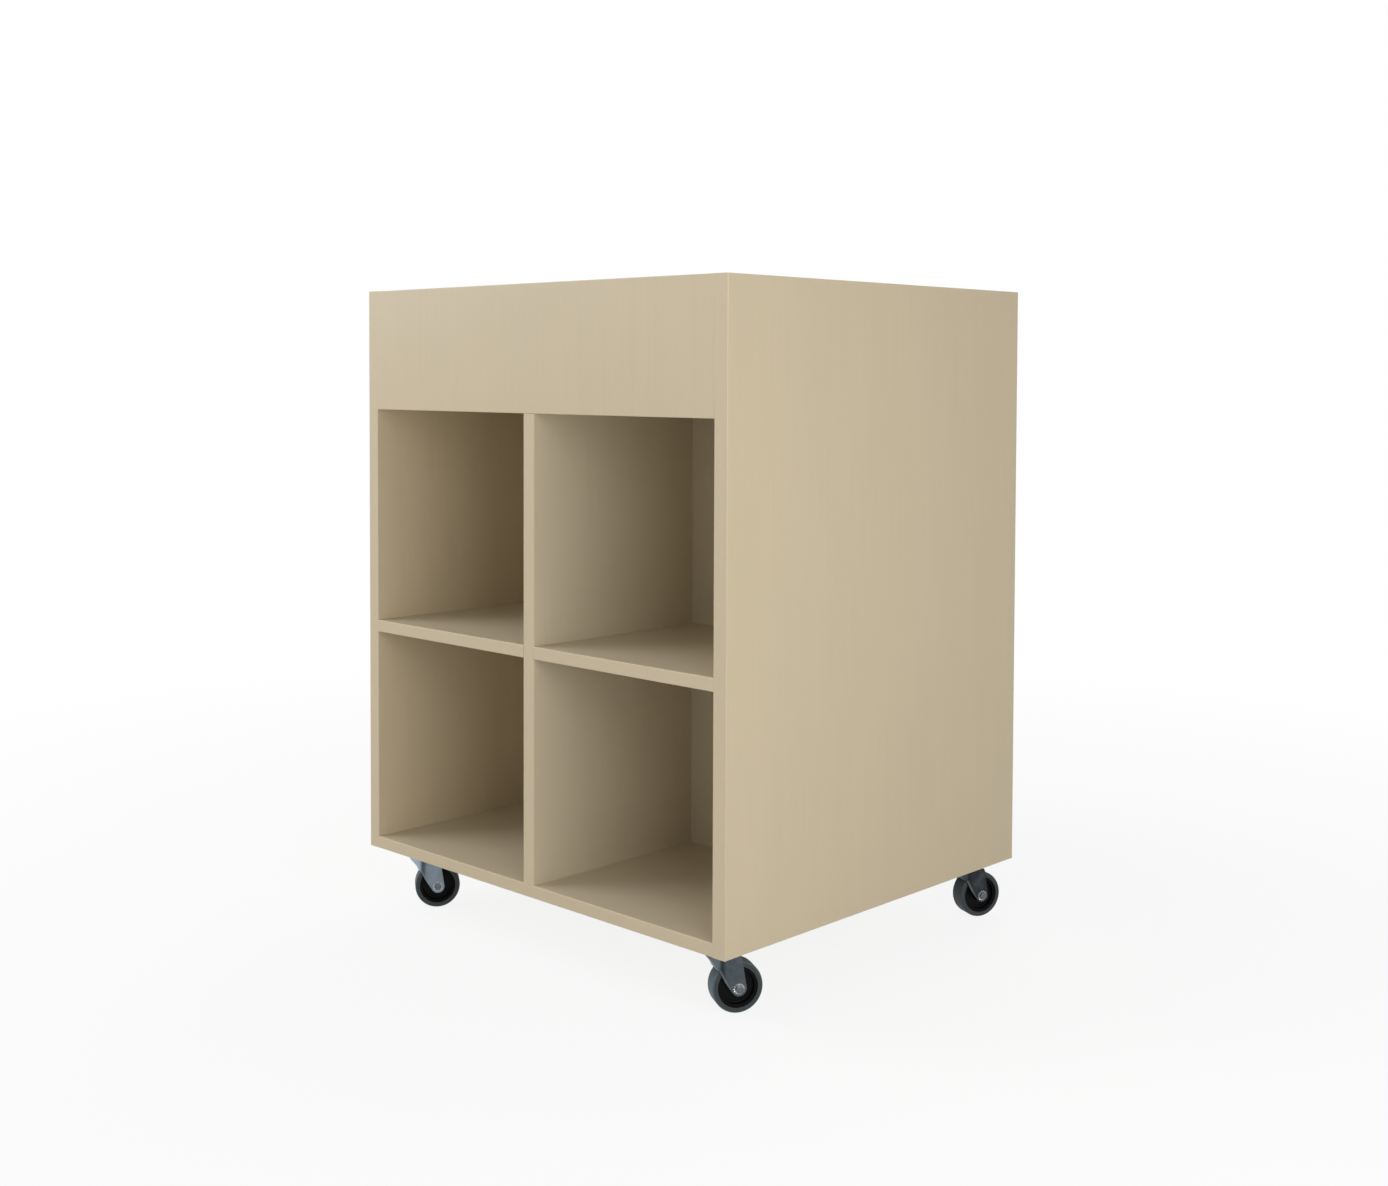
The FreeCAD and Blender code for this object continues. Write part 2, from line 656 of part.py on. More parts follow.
def kingpin(name, side_sign, end_sign):
    """The rivet that carries the fork: flared into the plate above, with a wide head below."""
    body = new_body("caster_kingpin_" + name)
    sketch = new_sketch(body, "XZ_Plane", body.Name + "_half")
    pin = "kingpin_diameter / 2"
    head = "kingpin_head_diameter / 2"
    seat = "-(%s + side_clearance)" % CROWN_UNDERSIDE
    draw_polygon(sketch, [
        ("0", "0"), ("kingpin_flare_diameter / 2", "0"), (pin, "-kingpin_flare_depth"), (pin, seat),
        (head, seat), (head, "%s - kingpin_head_height / 3" % seat),
        ("%s * 0.6" % head, "%s - kingpin_head_height" % seat), ("0", "%s - kingpin_head_height" % seat),
    ])
    turn(body, "Revolution", sketch, body.Name + "_turned", "V_Axis")
    seat_on_swivel(body, side_sign, end_sign)
    SUB_PARTS.append(body)


def balls(name, side_sign, end_sign, heading):
    """The ring of balls between the plate and the fork."""
    members = []
    x, y = caster_axis(side_sign, end_sign)
    for index in range(BALL_COUNT):
        ball = DOC.addObject("Part::Sphere", "ball_%s_%d" % (name, index + 1))
        bind(ball, Radius="ball_diameter / 2")
        angle = "(%s + %s)" % (heading, 360 * index / BALL_COUNT)
        place(ball, "%s + race_radius * cos(%s)" % (x, angle), "%s + race_radius * sin(%s)" % (y, angle),
              "%s - %s" % (CASTER_HEIGHT, BALL_DROP))
        members.append(ball)
    group("caster_balls_" + name, members)


def fork_side_view(body):
    """The fork's outline from the side: crown, sloping web, and legs that taper to the axle."""
    corners = [
        ("wheel_trail + leg_rear_reach", "-(%s + leg_shoulder_drop)" % CROWN_TOP),
        ("crown_rear_reach", "-" + CROWN_TOP),
        CROWN_FRONT,
        WEB_RIM,
        WEB_KNEE,
        WEB_TOE,
    ]
    sketch = new_sketch(body, "XZ_Plane", body.Name + "_side_view")
    points = [VECTOR(number(x), number(y), 0) for x, y in corners]
    centre = VECTOR(number("wheel_trail"), number("-" + AXLE_DROP), 0)
    radius = number("fork_end_radius")

    def tangent_angle(point, turn_sign):
        """The angle on the end arc at which a line from a point touches it."""
        away = point - centre
        return math.atan2(away.y, away.x) + turn_sign * math.acos(radius / away.Length)

    start = tangent_angle(points[-1], 1)
    stop = tangent_angle(points[0], -1)
    circle = Part.Circle(centre, Z_AXIS, radius)
    front, rear = (centre + VECTOR(radius * math.cos(a), radius * math.sin(a), 0) for a in (start, stop))
    chain = points + [front]
    for index in range(len(points)):
        sketch.addGeometry(Part.LineSegment(chain[index], chain[index + 1]))
    arc = sketch.addGeometry(Part.ArcOfCircle(circle, start, stop + 2 * math.pi))
    rear_edge = sketch.addGeometry(Part.LineSegment(rear, points[0]))
    for index, corner in enumerate(corners):
        pin_point(sketch, index, 1, corner)
        if index:
            sketch.addConstraint(Sketcher.Constraint("Coincident", index - 1, 2, index, 1))
    sketch.addConstraint(Sketcher.Constraint("Tangent", len(points) - 1, 2, arc, 1))
    sketch.addConstraint(Sketcher.Constraint("Tangent", arc, 2, rear_edge, 1))
    sketch.addConstraint(Sketcher.Constraint("Coincident", rear_edge, 2, 0, 1))
    pin_point(sketch, arc, 3, ("wheel_trail", "-" + AXLE_DROP))
    pin_radius(sketch, arc, "fork_end_radius")
    return sketch


def inside_corner(before, corner, after):
    """The same corner of the web on the inner face of the plate."""
    lean_above, lean_below = ("atan((%s - %s) / (%s - %s))" % (low[0], high[0], high[1], low[1])
                              for high, low in ((before, corner), (corner, after)))
    lean = "((%s + %s) / 2)" % (lean_above, lean_below)
    offset = "fork_thickness / cos((%s - %s) / 2)" % (lean_above, lean_below)
    return "%s + %s * cos(%s)" % (corner[0], offset, lean), "%s + %s * sin(%s)" % (corner[1], offset, lean)


def inner_web_corners():
    """The inner corners of the web that get a bend, from the top."""
    return [inside_corner(CROWN_FRONT, WEB_RIM, WEB_KNEE), inside_corner(WEB_RIM, WEB_KNEE, WEB_TOE)]


def fork_hollow(body):
    """The outline from the side of the space inside the crown and the web, run on below the web."""
    knee = inner_web_corners()[-1]
    beyond = "(wheel_trail + wheel_diameter)"
    foot = "(%s + (%s - %s) * web_knee_lead / web_knee_rise)" % (knee[0], knee[1], BELOW_FORK)
    sketch = new_sketch(body, "XZ_Plane", body.Name + "_hollow")
    draw_polygon(sketch, [
        (beyond, "-" + CROWN_UNDERSIDE),
        ("%s + fork_thickness" % CROWN_FRONT[0], "-" + CROWN_UNDERSIDE),
        *inner_web_corners(),
        (foot, BELOW_FORK),
        (beyond, BELOW_FORK),
    ])
    return sketch


def fork_mouth(body):
    """The outline from the side of the space below the web, open to the front, the rear and below."""
    beyond = "(wheel_trail + wheel_diameter)"
    before = "(%s - fork_thickness)" % WEB_TOE[0]
    sketch = new_sketch(body, "XZ_Plane", body.Name + "_mouth")
    draw_polygon(sketch, [
        (before, WEB_TOE[1]),
        (beyond, WEB_TOE[1]),
        (beyond, BELOW_FORK),
        (before, BELOW_FORK),
    ])
    return sketch


def edge_across(corner):
    """A test for an edge that crosses the fork at a corner of its side view."""
    x, z = (number(expression) for expression in corner)

    def is_there(points):
        return all(abs(point.x - x) < TOLERANCE and abs(point.z - z) < TOLERANCE for point in points)

    return is_there


def edge_beside_web(half_width, crown_level, foot_level):
    """A test for an edge where the web turns into a leg, below the crown."""
    side = number(half_width)
    crown_z = number(crown_level)
    foot_z = number(foot_level)
    crown_rear = number("crown_rear_reach")

    def is_there(points):
        on_leg = all(abs(abs(point.y) - side) < TOLERANCE for point in points)
        above_foot = all(point.z > foot_z - TOLERANCE for point in points)
        below_crown = any(point.z < crown_z - TOLERANCE for point in points)
        ahead = all(point.x < crown_rear - TOLERANCE for point in points)
        return on_leg and above_foot and below_crown and ahead

    return is_there


def edge_round_crown(crown_level):
    """A test for an edge of the crown's face, but for the one across its open rear."""
    crown_z = number(crown_level)
    crown_rear = number("crown_rear_reach")

    def is_there(points):
        level = all(abs(point.z - crown_z) < TOLERANCE for point in points)
        return level and any(point.x < crown_rear - TOLERANCE for point in points)

    return is_there


def bend_sheet(body, label, corners, half_width, levels, within):
    """Bend the web across and beside, and then the crown all round; inside, the radii are less."""
    crown_level, foot_level = levels
    for index, (corner, radius) in enumerate(zip(corners, WEB_BEND_RADII)):
        round_edges(body, "%s_cross_bend_%d" % (label, index), radius + within, edge_across(corner))
    beside = edge_beside_web(half_width, crown_level, foot_level)
    round_edges(body, label + "_side_bends", "web_side_radius" + within, beside)
    round_edges(body, label + "_crown_bends", "fork_bend_radius" + within, edge_round_crown(crown_level))


def fork(name, side_sign, end_sign, heading):
    """The pressed steel fork: a crown on the balls, a web in front and a leg on each side of the wheel."""
    body = new_body("caster_fork_" + name)
    extrude(body, "Pad", fork_side_view(body), body.Name + "_blank", FORK_WIDTH, "Symmetric")
    bend_sheet(body, body.Name, (WEB_RIM, WEB_KNEE), "%s / 2" % FORK_WIDTH,
               ("-" + CROWN_TOP, WEB_TOE[1]), "")
    extrude(body, "Pocket", fork_hollow(body), body.Name + "_inside", FORK_GAP, "Symmetric")
    bend_sheet(body, body.Name + "_inner", inner_web_corners(), "%s / 2" % FORK_GAP,
               ("-" + CROWN_UNDERSIDE, BELOW_FORK), " - fork_thickness")
    extrude(body, "Pocket", fork_mouth(body), body.Name + "_clear", FORK_GAP, "Symmetric")
    axle = new_sketch(body, "XZ_Plane", body.Name + "_axle_hole")
    draw_circle(axle, "wheel_trail", "-" + AXLE_DROP, "axle_diameter / 2 + axle_hole_play")
    beyond_legs = FORK_WIDTH + " + 2 * fork_thickness"
    extrude(body, "Pocket", axle, body.Name + "_axle_bore", beyond_legs, "Symmetric")
    crown = new_sketch(body, "XY_Plane", body.Name + "_crown_hole")
    draw_circle(crown, "0", "0", "kingpin_diameter / 2 + running_clearance")
    extrude(body, "Pocket", crown, body.Name + "_crown_bore", CROWN_UNDERSIDE + " + fork_thickness")
    ball_track(body)
    seat_on_swivel(body, side_sign, end_sign, heading)
    SUB_PARTS.append(body)


def chamfer_hexagon(body, label, inner, outer):
    """Turn off the corners of a hexagon's outer face; both ends are distances along the axle."""
    flat = "(hex_across_flats / 2)"
    sketch = new_sketch(body, "YZ_Plane", label)
    corner = "(%s + hex_chamfer * 2)" % flat
    draw_polygon(sketch, [(outer, flat), (outer, corner), (inner, corner)])
    turn(body, "Groove", sketch, label + "_cut", "H_Axis")


def axle_bolt(name, side_sign, end_sign, heading):
    """The hexagon bolt that the wheel turns on, with its head against one leg."""
    body = new_body("caster_axle_bolt_" + name)
    leg_face = "(%s / 2)" % FORK_WIDTH
    tip = "(%s + nut_height + axle_end_length)" % leg_face
    shank = new_sketch(body, "XZ_Plane", body.Name + "_shank", "-" + tip)
    draw_circle(shank, "0", "0", "axle_diameter / 2")
    extrude(body, "Pad", shank, body.Name + "_rod", "%s + %s" % (leg_face, tip))
    head = new_sketch(body, "XZ_Plane", body.Name + "_head", leg_face)
    draw_hexagon(head, "hex_across_flats")
    extrude(body, "Pad", head, body.Name + "_head_pad", "bolt_head_height")
    end = "-(%s + bolt_head_height)" % leg_face
    chamfer_hexagon(body, body.Name + "_chamfer", "%s + hex_chamfer" % end, end)
    seat_on_axle(body, side_sign, end_sign, heading)
    SUB_PARTS.append(body)


def axle_nut(name, side_sign, end_sign, heading):
    """The nut that closes the fork on the sleeve."""
    body = new_body("caster_axle_nut_" + name)
    leg_face = "(%s / 2)" % FORK_WIDTH
    outline = new_sketch(body, "XZ_Plane", body.Name + "_outline", "-%s" % leg_face)
    draw_hexagon(outline, "hex_across_flats")
    draw_circle(outline, "0", "0", "axle_diameter / 2 + axle_hole_play")
    extrude(body, "Pad", outline, body.Name + "_pad", "nut_height", backwards=True)
    end = "(%s + nut_height)" % leg_face
    chamfer_hexagon(body, body.Name + "_chamfer", "%s - hex_chamfer" % end, end)
    seat_on_axle(body, side_sign, end_sign, heading)
    SUB_PARTS.append(body)


def wheel_sleeve(name, side_sign, end_sign, heading):
    """The steel tube that the bolt clamps between the legs and the hub turns on."""
    body = new_body("caster_sleeve_" + name)
    ring = new_sketch(body, "XZ_Plane", body.Name + "_ring")
    draw_circle(ring, "0", "0", "sleeve_diameter / 2")
    draw_circle(ring, "0", "0", "axle_diameter / 2 + axle_hole_play")
    extrude(body, "Pad", ring, body.Name + "_tube", FORK_GAP, "Symmetric")
    seat_on_axle(body, side_sign, end_sign, heading)
    SUB_PARTS.append(body)


def turned_ring(label, corners):
    """A body turned about the axle; each corner is a distance along it and a radius."""
    body = new_body(label)
    sketch = new_sketch(body, "YZ_Plane", label + "_half")
    draw_polygon(sketch, corners)
    turn(body, "Revolution", sketch, label + "_turned", "H_Axis")
    return body


def both_ways(half):
    """Mirror a half section's corners across the middle of the wheel."""
    return half + [("-(%s)" % along, radius) for along, radius in reversed(half)]


def hub(name, side_sign, end_sign, heading):
    """The moulded hub: a boss on the sleeve, a thin disc and the rim that holds the tyre."""
    bore = "sleeve_diameter / 2 + running_clearance"
    boss_end = "(%s / 2 - side_clearance)" % FORK_GAP
    rim_end = "wheel_width / 2 - hub_recess"
    seat = "(%s - tyre_depth)" % WHEEL_RADIUS
    disc = "hub_web_thickness / 2"
    boss = "hub_boss_diameter / 2"
    body = turned_ring("caster_hub_" + name, both_ways([
        (boss_end, bore), (boss_end, boss), (disc, boss), (disc, "%s - hub_rim_depth" % seat),
        (rim_end, "%s - hub_rim_depth" % seat), (rim_end, seat),
    ]))
    disc_at = number(disc)

    def in_recess(points):
        return all(abs(abs(point.y) - disc_at) < TOLERANCE for point in points)

    round_edges(body, body.Name + "_fillets", "hub_fillet_radius", in_recess)
    seat_on_axle(body, side_sign, end_sign, heading)
    SUB_PARTS.append(body)


def tyre(name, side_sign, end_sign, heading):
    """The solid rubber tyre on the hub's rim, with rounded shoulders."""
    half = "wheel_width / 2"
    seat = "(%s - tyre_depth)" % WHEEL_RADIUS
    body = turned_ring("caster_tyre_" + name, both_ways([(half, seat), (half, WHEEL_RADIUS)]))
    tread = number(WHEEL_RADIUS)
    width = number(half)

    def on_shoulder(points):
        return all(abs(abs(point.y) - width) < TOLERANCE
                   and abs(math.hypot(point.x, point.z) - tread) < TOLERANCE for point in points)

    round_edges(body, body.Name + "_shoulders", "tyre_shoulder_radius", on_shoulder)
    seat_on_axle(body, side_sign, end_sign, heading)
    SUB_PARTS.append(body)


def screw_places():
    """The places of all the caster screws."""
    for side_sign, end_sign, _ in CASTERS.values():
        x, y = caster_axis(side_sign, end_sign)
        for across, along in hole_square():
            yield "%s + %s" % (x, across), "%s + %s" % (y, along)


def pilot_holes():
    """Bores for the caster screws in the underside of the bottom board."""
    length = "(screw_depth + dowel_end_play)"
    for index, (x, y) in enumerate(screw_places(), start=1):
        middle = (x, y, "%s + %s / 2" % (CASTER_HEIGHT, length))
        radius = "screw_shank_diameter / 2 + pilot_play"
        bore = cutter_rod("pilot_hole_%d" % index, radius, length, middle, "z")
        BORES.setdefault("bottom_board", []).append(bore)


def screw(label, x, y):
    """A pan head wood screw, point up, with a cross recess in its head."""
    body = new_body(label)
    half = new_sketch(body, "XZ_Plane", label + "_half")
    shank = "screw_shank_diameter / 2"
    head = "screw_head_diameter / 2"
    seat = "-plate_thickness"
    draw_polygon(half, [
        ("0", "screw_depth"), (shank, "screw_depth - screw_shank_diameter"), (shank, seat), (head, seat),
        (head, "%s - screw_head_height / 2" % seat), ("%s * 0.7" % head, "%s - screw_head_height" % seat),
        ("0", "%s - screw_head_height" % seat),
    ])
    turn(body, "Revolution", half, label + "_turned", "V_Axis")
    for way, size in (("across", ("screw_recess_width", "%s * 1.1" % head)),
                      ("along", ("%s * 1.1" % head, "screw_recess_width"))):
        recess = new_sketch(body, "XY_Plane", "%s_%s" % (label, way), "%s - screw_head_height" % seat)
        draw_rectangle(recess, "-%s / 2" % size[0], "-%s / 2" % size[1], size[0], size[1])
        extrude(body, "Pocket", recess, "%s_%s_cut" % (label, way), "screw_recess_depth", backwards=True)
    place(body, x, y, CASTER_HEIGHT)
    return body


def caster_screws():
    """All the screws that hold the caster plates."""
    places = enumerate(screw_places(), start=1)
    group("caster_screws", [screw("screw_%d" % index, x, y) for index, (x, y) in places])


def casters():
    """Four swivel casters, each on its own swivel and its own axle."""
    for name, (side_sign, end_sign, heading) in CASTERS.items():
        top_plate(name, side_sign, end_sign)
        kingpin(name, side_sign, end_sign)
        for make in (balls, fork, axle_bolt, axle_nut, wheel_sleeve, hub, tyre):
            make(name, side_sign, end_sign, heading)


# ---------------------------------------------------------------- the whole bin
def build():
    """Make every sub-part."""
    fill_sheet()
    carcass_dowels()
    carcass_housings()
    pilot_holes()
    side_panels()
    level_boards()
    upright_boards()
    trough_grid()
    edge_bands()
    group("dowels", DOWELS)
    caster_screws()
    casters()
    DOC.recompute()


def check():
    """Stop if any object failed or any sub-part is not a sound solid."""
    for item in DOC.Objects:
        if "Invalid" in item.State or "Error" in item.State:
            raise RuntimeError("%s failed: %s" % (item.Label, item.State))
    for item in SUB_PARTS:
        if item.Shape.isNull() or not item.Shape.isValid() or not item.Shape.Solids:
            raise RuntimeError("%s has no valid solid" % item.Label)


def write():
    """Write each sub-part to a STEP file named after it."""
    os.makedirs("parts", exist_ok=True)
    for item in SUB_PARTS:
        item.Shape.exportStep("parts/%s.step" % item.Label)
        print("%-34s %3d solids %12.1f mm3" % (item.Label, len(item.Shape.Solids), item.Shape.Volume))


build()
check()
write()
print("%d sub-parts, caster height %.1f mm, overall height %.1f mm"
      % (len(SUB_PARTS), number(CASTER_HEIGHT), number(RIM)))
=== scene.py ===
# %% [markdown]
# # A picture book browser bin
# This lesson dresses a two-sided book trolley. The boards, bands and casters come from CAD at their
# real size, and they are never reshaped here. What is left is the finish on each surface, the small
# moulded and pressed details of the casters, and a quiet studio to look at it in. Everything is in
# metres, with the floor at zero.

# %% Load the packed model
import json
import math

import bmesh
import bpy
from mathutils import Matrix, Vector


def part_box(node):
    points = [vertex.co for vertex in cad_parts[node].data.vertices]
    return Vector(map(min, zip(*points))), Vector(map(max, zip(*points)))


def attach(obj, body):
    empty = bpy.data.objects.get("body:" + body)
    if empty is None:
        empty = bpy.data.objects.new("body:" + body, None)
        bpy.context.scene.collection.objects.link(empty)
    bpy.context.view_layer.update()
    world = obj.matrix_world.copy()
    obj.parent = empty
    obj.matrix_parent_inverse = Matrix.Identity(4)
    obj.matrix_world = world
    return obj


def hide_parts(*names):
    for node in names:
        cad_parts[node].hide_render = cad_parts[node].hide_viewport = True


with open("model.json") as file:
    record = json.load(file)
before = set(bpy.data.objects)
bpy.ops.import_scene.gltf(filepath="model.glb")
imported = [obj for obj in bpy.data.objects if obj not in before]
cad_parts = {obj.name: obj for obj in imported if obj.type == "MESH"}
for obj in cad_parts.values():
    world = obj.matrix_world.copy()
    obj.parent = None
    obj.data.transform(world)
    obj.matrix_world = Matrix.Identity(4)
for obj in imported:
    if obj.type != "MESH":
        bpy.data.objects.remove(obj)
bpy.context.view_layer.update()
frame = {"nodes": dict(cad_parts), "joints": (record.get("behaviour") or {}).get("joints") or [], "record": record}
NODES = frame["nodes"]

# %% [markdown]
# ## The camera
# A long, straight box shows every error of perspective, so the camera is set before anything else.
# It stands at the height of the trough's floor and looks slightly down at one corner.
# Rather than tilt further, which would make the uprights converge, the lens is shifted down,
# as on a view camera. The shift is kept small.

# %% Place the camera
STANDPOINT = Vector((1.7920, -1.8512, 0.8212))
TURN_FROM_BACK = math.radians(43.910)
TILT = math.radians(-2.131)
ROLL = math.radians(0.213)
FOCAL_LENGTH_MM = 43.99
SENSOR_MM = 36
LENS_FALL = -0.1111

eye = bpy.data.cameras.new("view_camera")
eye.sensor_width = SENSOR_MM
eye.lens = FOCAL_LENGTH_MM
eye.shift_y = LENS_FALL
camera = bpy.data.objects.new("view_camera", eye)
level_gaze = Matrix.Rotation(TURN_FROM_BACK, 4, "Z") @ Matrix.Rotation(math.pi / 2 + TILT, 4, "X")
camera.matrix_world = Matrix.Translation(STANDPOINT) @ level_gaze @ Matrix.Rotation(ROLL, 4, "Z")
bpy.context.scene.collection.objects.link(camera)
bpy.context.scene.camera = camera
bpy.context.scene.view_settings.view_transform = "Standard"
print("camera at", [round(value, 3) for value in STANDPOINT])

# %% [markdown]
# ## Sums that read like sums
# A node tree is a long list of links, and the idea gets lost in it. This small class wraps one
# socket and gives it Python's own signs, so that `1 - dust * 0.3` adds the Math nodes by itself.
# The bench that follows holds one tree, and has a single method that adds any other node.
# Materials and Geometry Nodes use the same Math node, so both kinds of tree share the bench.

# %% A socket with arithmetic
class Wire:
    """One output socket on a bench."""

    def __init__(self, bench, socket):
        self.bench = bench
        self.socket = socket

    def sum(self, operation, first, second):
        return self.bench.add("ShaderNodeMath", {"operation": operation}, {0: first, 1: second})

    def __add__(self, other):
        return self.sum("ADD", self, other)

    def __radd__(self, other):
        return self.sum("ADD", other, self)

    def __sub__(self, other):
        return self.sum("SUBTRACT", self, other)

    def __rsub__(self, other):
        return self.sum("SUBTRACT", other, self)

    def __mul__(self, other):
        return self.sum("MULTIPLY", self, other)

    def __rmul__(self, other):
        return self.sum("MULTIPLY", other, self)

    def __rtruediv__(self, other):
        return self.sum("DIVIDE", other, self)

    def __abs__(self):
        return self.bench.add("ShaderNodeMath", {"operation": "ABSOLUTE"}, {0: self})


print("wires can be added, subtracted, multiplied and divided")

# %% A bench for one node tree
class Bench:
    """A node tree under construction, and the way to add nodes to it."""

    def __init__(self, tree):
        self.tree = tree

    def add(self, kind, settings=None, sockets=None, output=0):
        """Add a node: its settings first, then the value or the links of each socket."""
        node = self.tree.nodes.new(kind)
        for name, value in (settings or {}).items():
            if name == "stops":
                self.set_stops(node.color_ramp, value)
            else:
                setattr(node, name, value)
        for name, value in (sockets or {}).items():
            self.feed(node.inputs[name], value)
        return Wire(self, node.outputs[output])

    def set_stops(self, ramp, stops):
        """Give a ramp two grey stops, each a position and a level."""
        for element, (position, level) in zip(ramp.elements, stops):
            element.position = position
            element.color = (level, level, level, 1)

    def feed(self, socket, value):
        """Link a wire, or each wire of a list, to a socket, or set a plain value on it."""
        if isinstance(value, list):
            for wire in value:
                self.feed(socket, wire)
        elif isinstance(value, Wire):
            self.tree.links.new(value.socket, socket)
        else:
            socket.default_value = value


print("a bench can", [skill for skill in vars(Bench) if not skill.startswith("_")])

# %% A bench for one material
class Finish(Bench):
    """One material under construction, with its main shader."""

    def __init__(self, name):
        self.material = bpy.data.materials.new(name)
        self.material.use_nodes = True
        super().__init__(self.material.node_tree)
        self.shader = self.tree.nodes["Principled BSDF"]

    def point(self):
        """The point on the object in metres."""
        return self.add("ShaderNodeTexCoord", output="Object")

    def normal(self):
        """The way that the surface faces."""
        return self.add("ShaderNodeNewGeometry", output="Normal")

    def place(self, scale=(1, 1, 1), shift=(0, 0, 0)):
        """The point on the object, moved and stretched."""
        sockets = {"Vector": self.point(), "Scale": scale, "Location": shift}
        return self.add("ShaderNodeMapping", {}, sockets)

    def noise(self, place, scale, detail=2.0):
        """Soft random patches, about one over the scale across."""
        sockets = {"Vector": place, "Scale": scale, "Detail": detail}
        return self.add("ShaderNodeTexNoise", {}, sockets)

    def above(self, value, start, stop):
        """Fade from 0 to 1 while a value goes from start to stop."""
        return self.add("ShaderNodeValToRGB", {"stops": ((start, 0), (stop, 1))}, {0: value})

    def fade(self, length, start, stop, unit=0.1):
        """Fade along a length in metres, read in a unit that suits a ramp from 0 to 1."""
        return self.above(length * (1 / unit), start / unit, stop / unit)

    def tint(self, share, low, high):
        """Mix two colours by a share, through the node's colour sockets: 6 and 7 in, 2 out."""
        sockets = {0: share, 6: low, 7: high}
        return self.add("ShaderNodeMix", {"data_type": "RGBA"}, sockets, output=2)

    def vary(self, share, colour, darkest, palest):
        """Let a colour wander between a darker and a paler tone of itself."""
        return self.tint(share, shade(colour, darkest), shade(colour, palest))

    def bump(self, height, depth, strength=1.0):
        """Turn a height of 0 to 1 into a surface relief of the given depth in metres."""
        sockets = {"Height": height, "Distance": depth, "Strength": strength}
        return self.add("ShaderNodeBump", {}, sockets)

    def vector(self, operation, first, second=(0, 0, 0), output="Vector"):
        """A sum on two vectors."""
        sockets = {0: first, 1: second}
        return self.add("ShaderNodeVectorMath", {"operation": operation}, sockets, output)

    def number(self, operation, first, second=(0, 0, 0)):
        """A number from two vectors, such as a length or a dot product."""
        return self.vector(operation, first, second, output="Value")

    def complete(self, **sockets):
        """Set the main shader's sockets and hand over the material."""
        for name, value in sockets.items():
            self.feed(self.shader.inputs[name.replace("_", " ")], value)
        return self.material


print("a finish can also", [skill for skill in vars(Finish) if not skill.startswith("_")])

# %% Tones of a colour and places in the noise
def shade(colour, factor):
    """A colour made lighter or darker, with alpha 1."""
    return tuple(channel * factor for channel in colour) + (1,)


def elsewhere(number, step):
    """A place in the noise for each number, so that no two pieces show the same patch."""
    return tuple(number * along for along in step)


print("a white at half its level is", shade((1, 1, 1), 0.5))

# %% [markdown]
# ## The laminate
# The boards are chipboard faced with a pale beige decor: a printed wood so quiet that it looks
# plain from across a room. Close up it has fine streaks along the grain, slow changes of tone from
# one streak to the next, and a trace of short pores. All of it is made from noise that is stretched
# along the grain. Upright boards have their grain upright and level boards have it along their
# length. Each board reads the noise at another place, as if it were cut from another sheet.
# The tones differ by a few percent only, because a stronger print would look like another material.
# The boards inside the cells get a slightly greyer copy of the laminate, a painted tint for the light inside the
# cells.

# %% Laminate for one board
LAMINATE = (0.606, 0.508, 0.345)
LAMINATE_TINTED_FOR_CELL_LIGHT = (0.580, 0.507, 0.372)
PRINT_TONES = (0.935, 1.065)
PORE_TONE = 0.72
GRAIN_STRETCH = {"x": (0.012, 1, 1), "y": (1, 0.012, 1), "z": (1, 1, 0.012)}
CLOUD_STRETCH = {"x": (0.15, 1, 1), "y": (1, 0.15, 1), "z": (1, 1, 0.15)}
STREAKS_PER_METRE = 420
CLOUDS_PER_METRE = 26
PORES_PER_METRE = 1500
HANDLED_PATCHES_PER_METRE = 7
PRINT_DEPTH = 0.00003


def laminate(name, base, grain, shift):
    """Beige wood-print laminate with its grain along x, y or z."""
    bench = Finish(name)
    along = bench.place(GRAIN_STRETCH[grain], shift)
    streak = bench.noise(along, STREAKS_PER_METRE, 3)
    cloud = bench.noise(bench.place(CLOUD_STRETCH[grain], shift), CLOUDS_PER_METRE, 2)
    pore = bench.above(bench.noise(along, PORES_PER_METRE, 1), 0.60, 0.74)
    handling = bench.noise(bench.place(shift=shift), HANDLED_PATCHES_PER_METRE, 2)
    colour = bench.vary(streak * 0.55 + cloud * 0.45, base, *PRINT_TONES)
    colour = bench.tint(pore * 0.05, colour, shade(base, PORE_TONE))
    relief = bench.bump(streak * 0.6 + (1 - pore) * 0.4, PRINT_DEPTH, 0.35)
    roughness = 0.46 + (cloud - 0.5) * 0.08 + (handling - 0.5) * 0.14
    return bench.complete(Base_Color=colour, Roughness=roughness, Normal=relief)


print("laminate", LAMINATE, "outside and", LAMINATE_TINTED_FOR_CELL_LIGHT, "in the cells")

# %% Face every board
UPRIGHT_BOARDS = ["side_panel_left", "side_panel_right", "divider_front", "divider_rear",
                  "middle_panel", "fascia_front", "fascia_rear"]
LEVEL_BOARDS = ["bottom_board", "trough_floor", "shelf_front_left", "shelf_front_right",
                "shelf_rear_left", "shelf_rear_right", "trough_grid_long"]
GRAIN_OF = {**{node: "z" for node in UPRIGHT_BOARDS}, **{node: "x" for node in LEVEL_BOARDS},
            "trough_grid_cross": "y"}
INNER_BOARDS = ["divider_front", "divider_rear", "middle_panel", "bottom_board",
                "shelf_front_left", "shelf_front_right", "shelf_rear_left", "shelf_rear_right"]
NEXT_SHEET = (0.37, 0.53, 0.71)


def wear(node, material):
    """Give a CAD piece one material on all its faces."""
    mesh = NODES[node].data
    mesh.materials.clear()
    mesh.materials.append(material)


for number, (node, grain) in enumerate(sorted(GRAIN_OF.items())):
    # Painted light: boards inside the cells take a greyer copy of the laminate, for the light in there.
    base = LAMINATE_TINTED_FOR_CELL_LIGHT if node in INNER_BOARDS else LAMINATE
    wear(node, laminate("laminate_" + node, base, grain, elsewhere(number, NEXT_SHEET)))
print(len(GRAIN_OF), "boards faced with laminate")
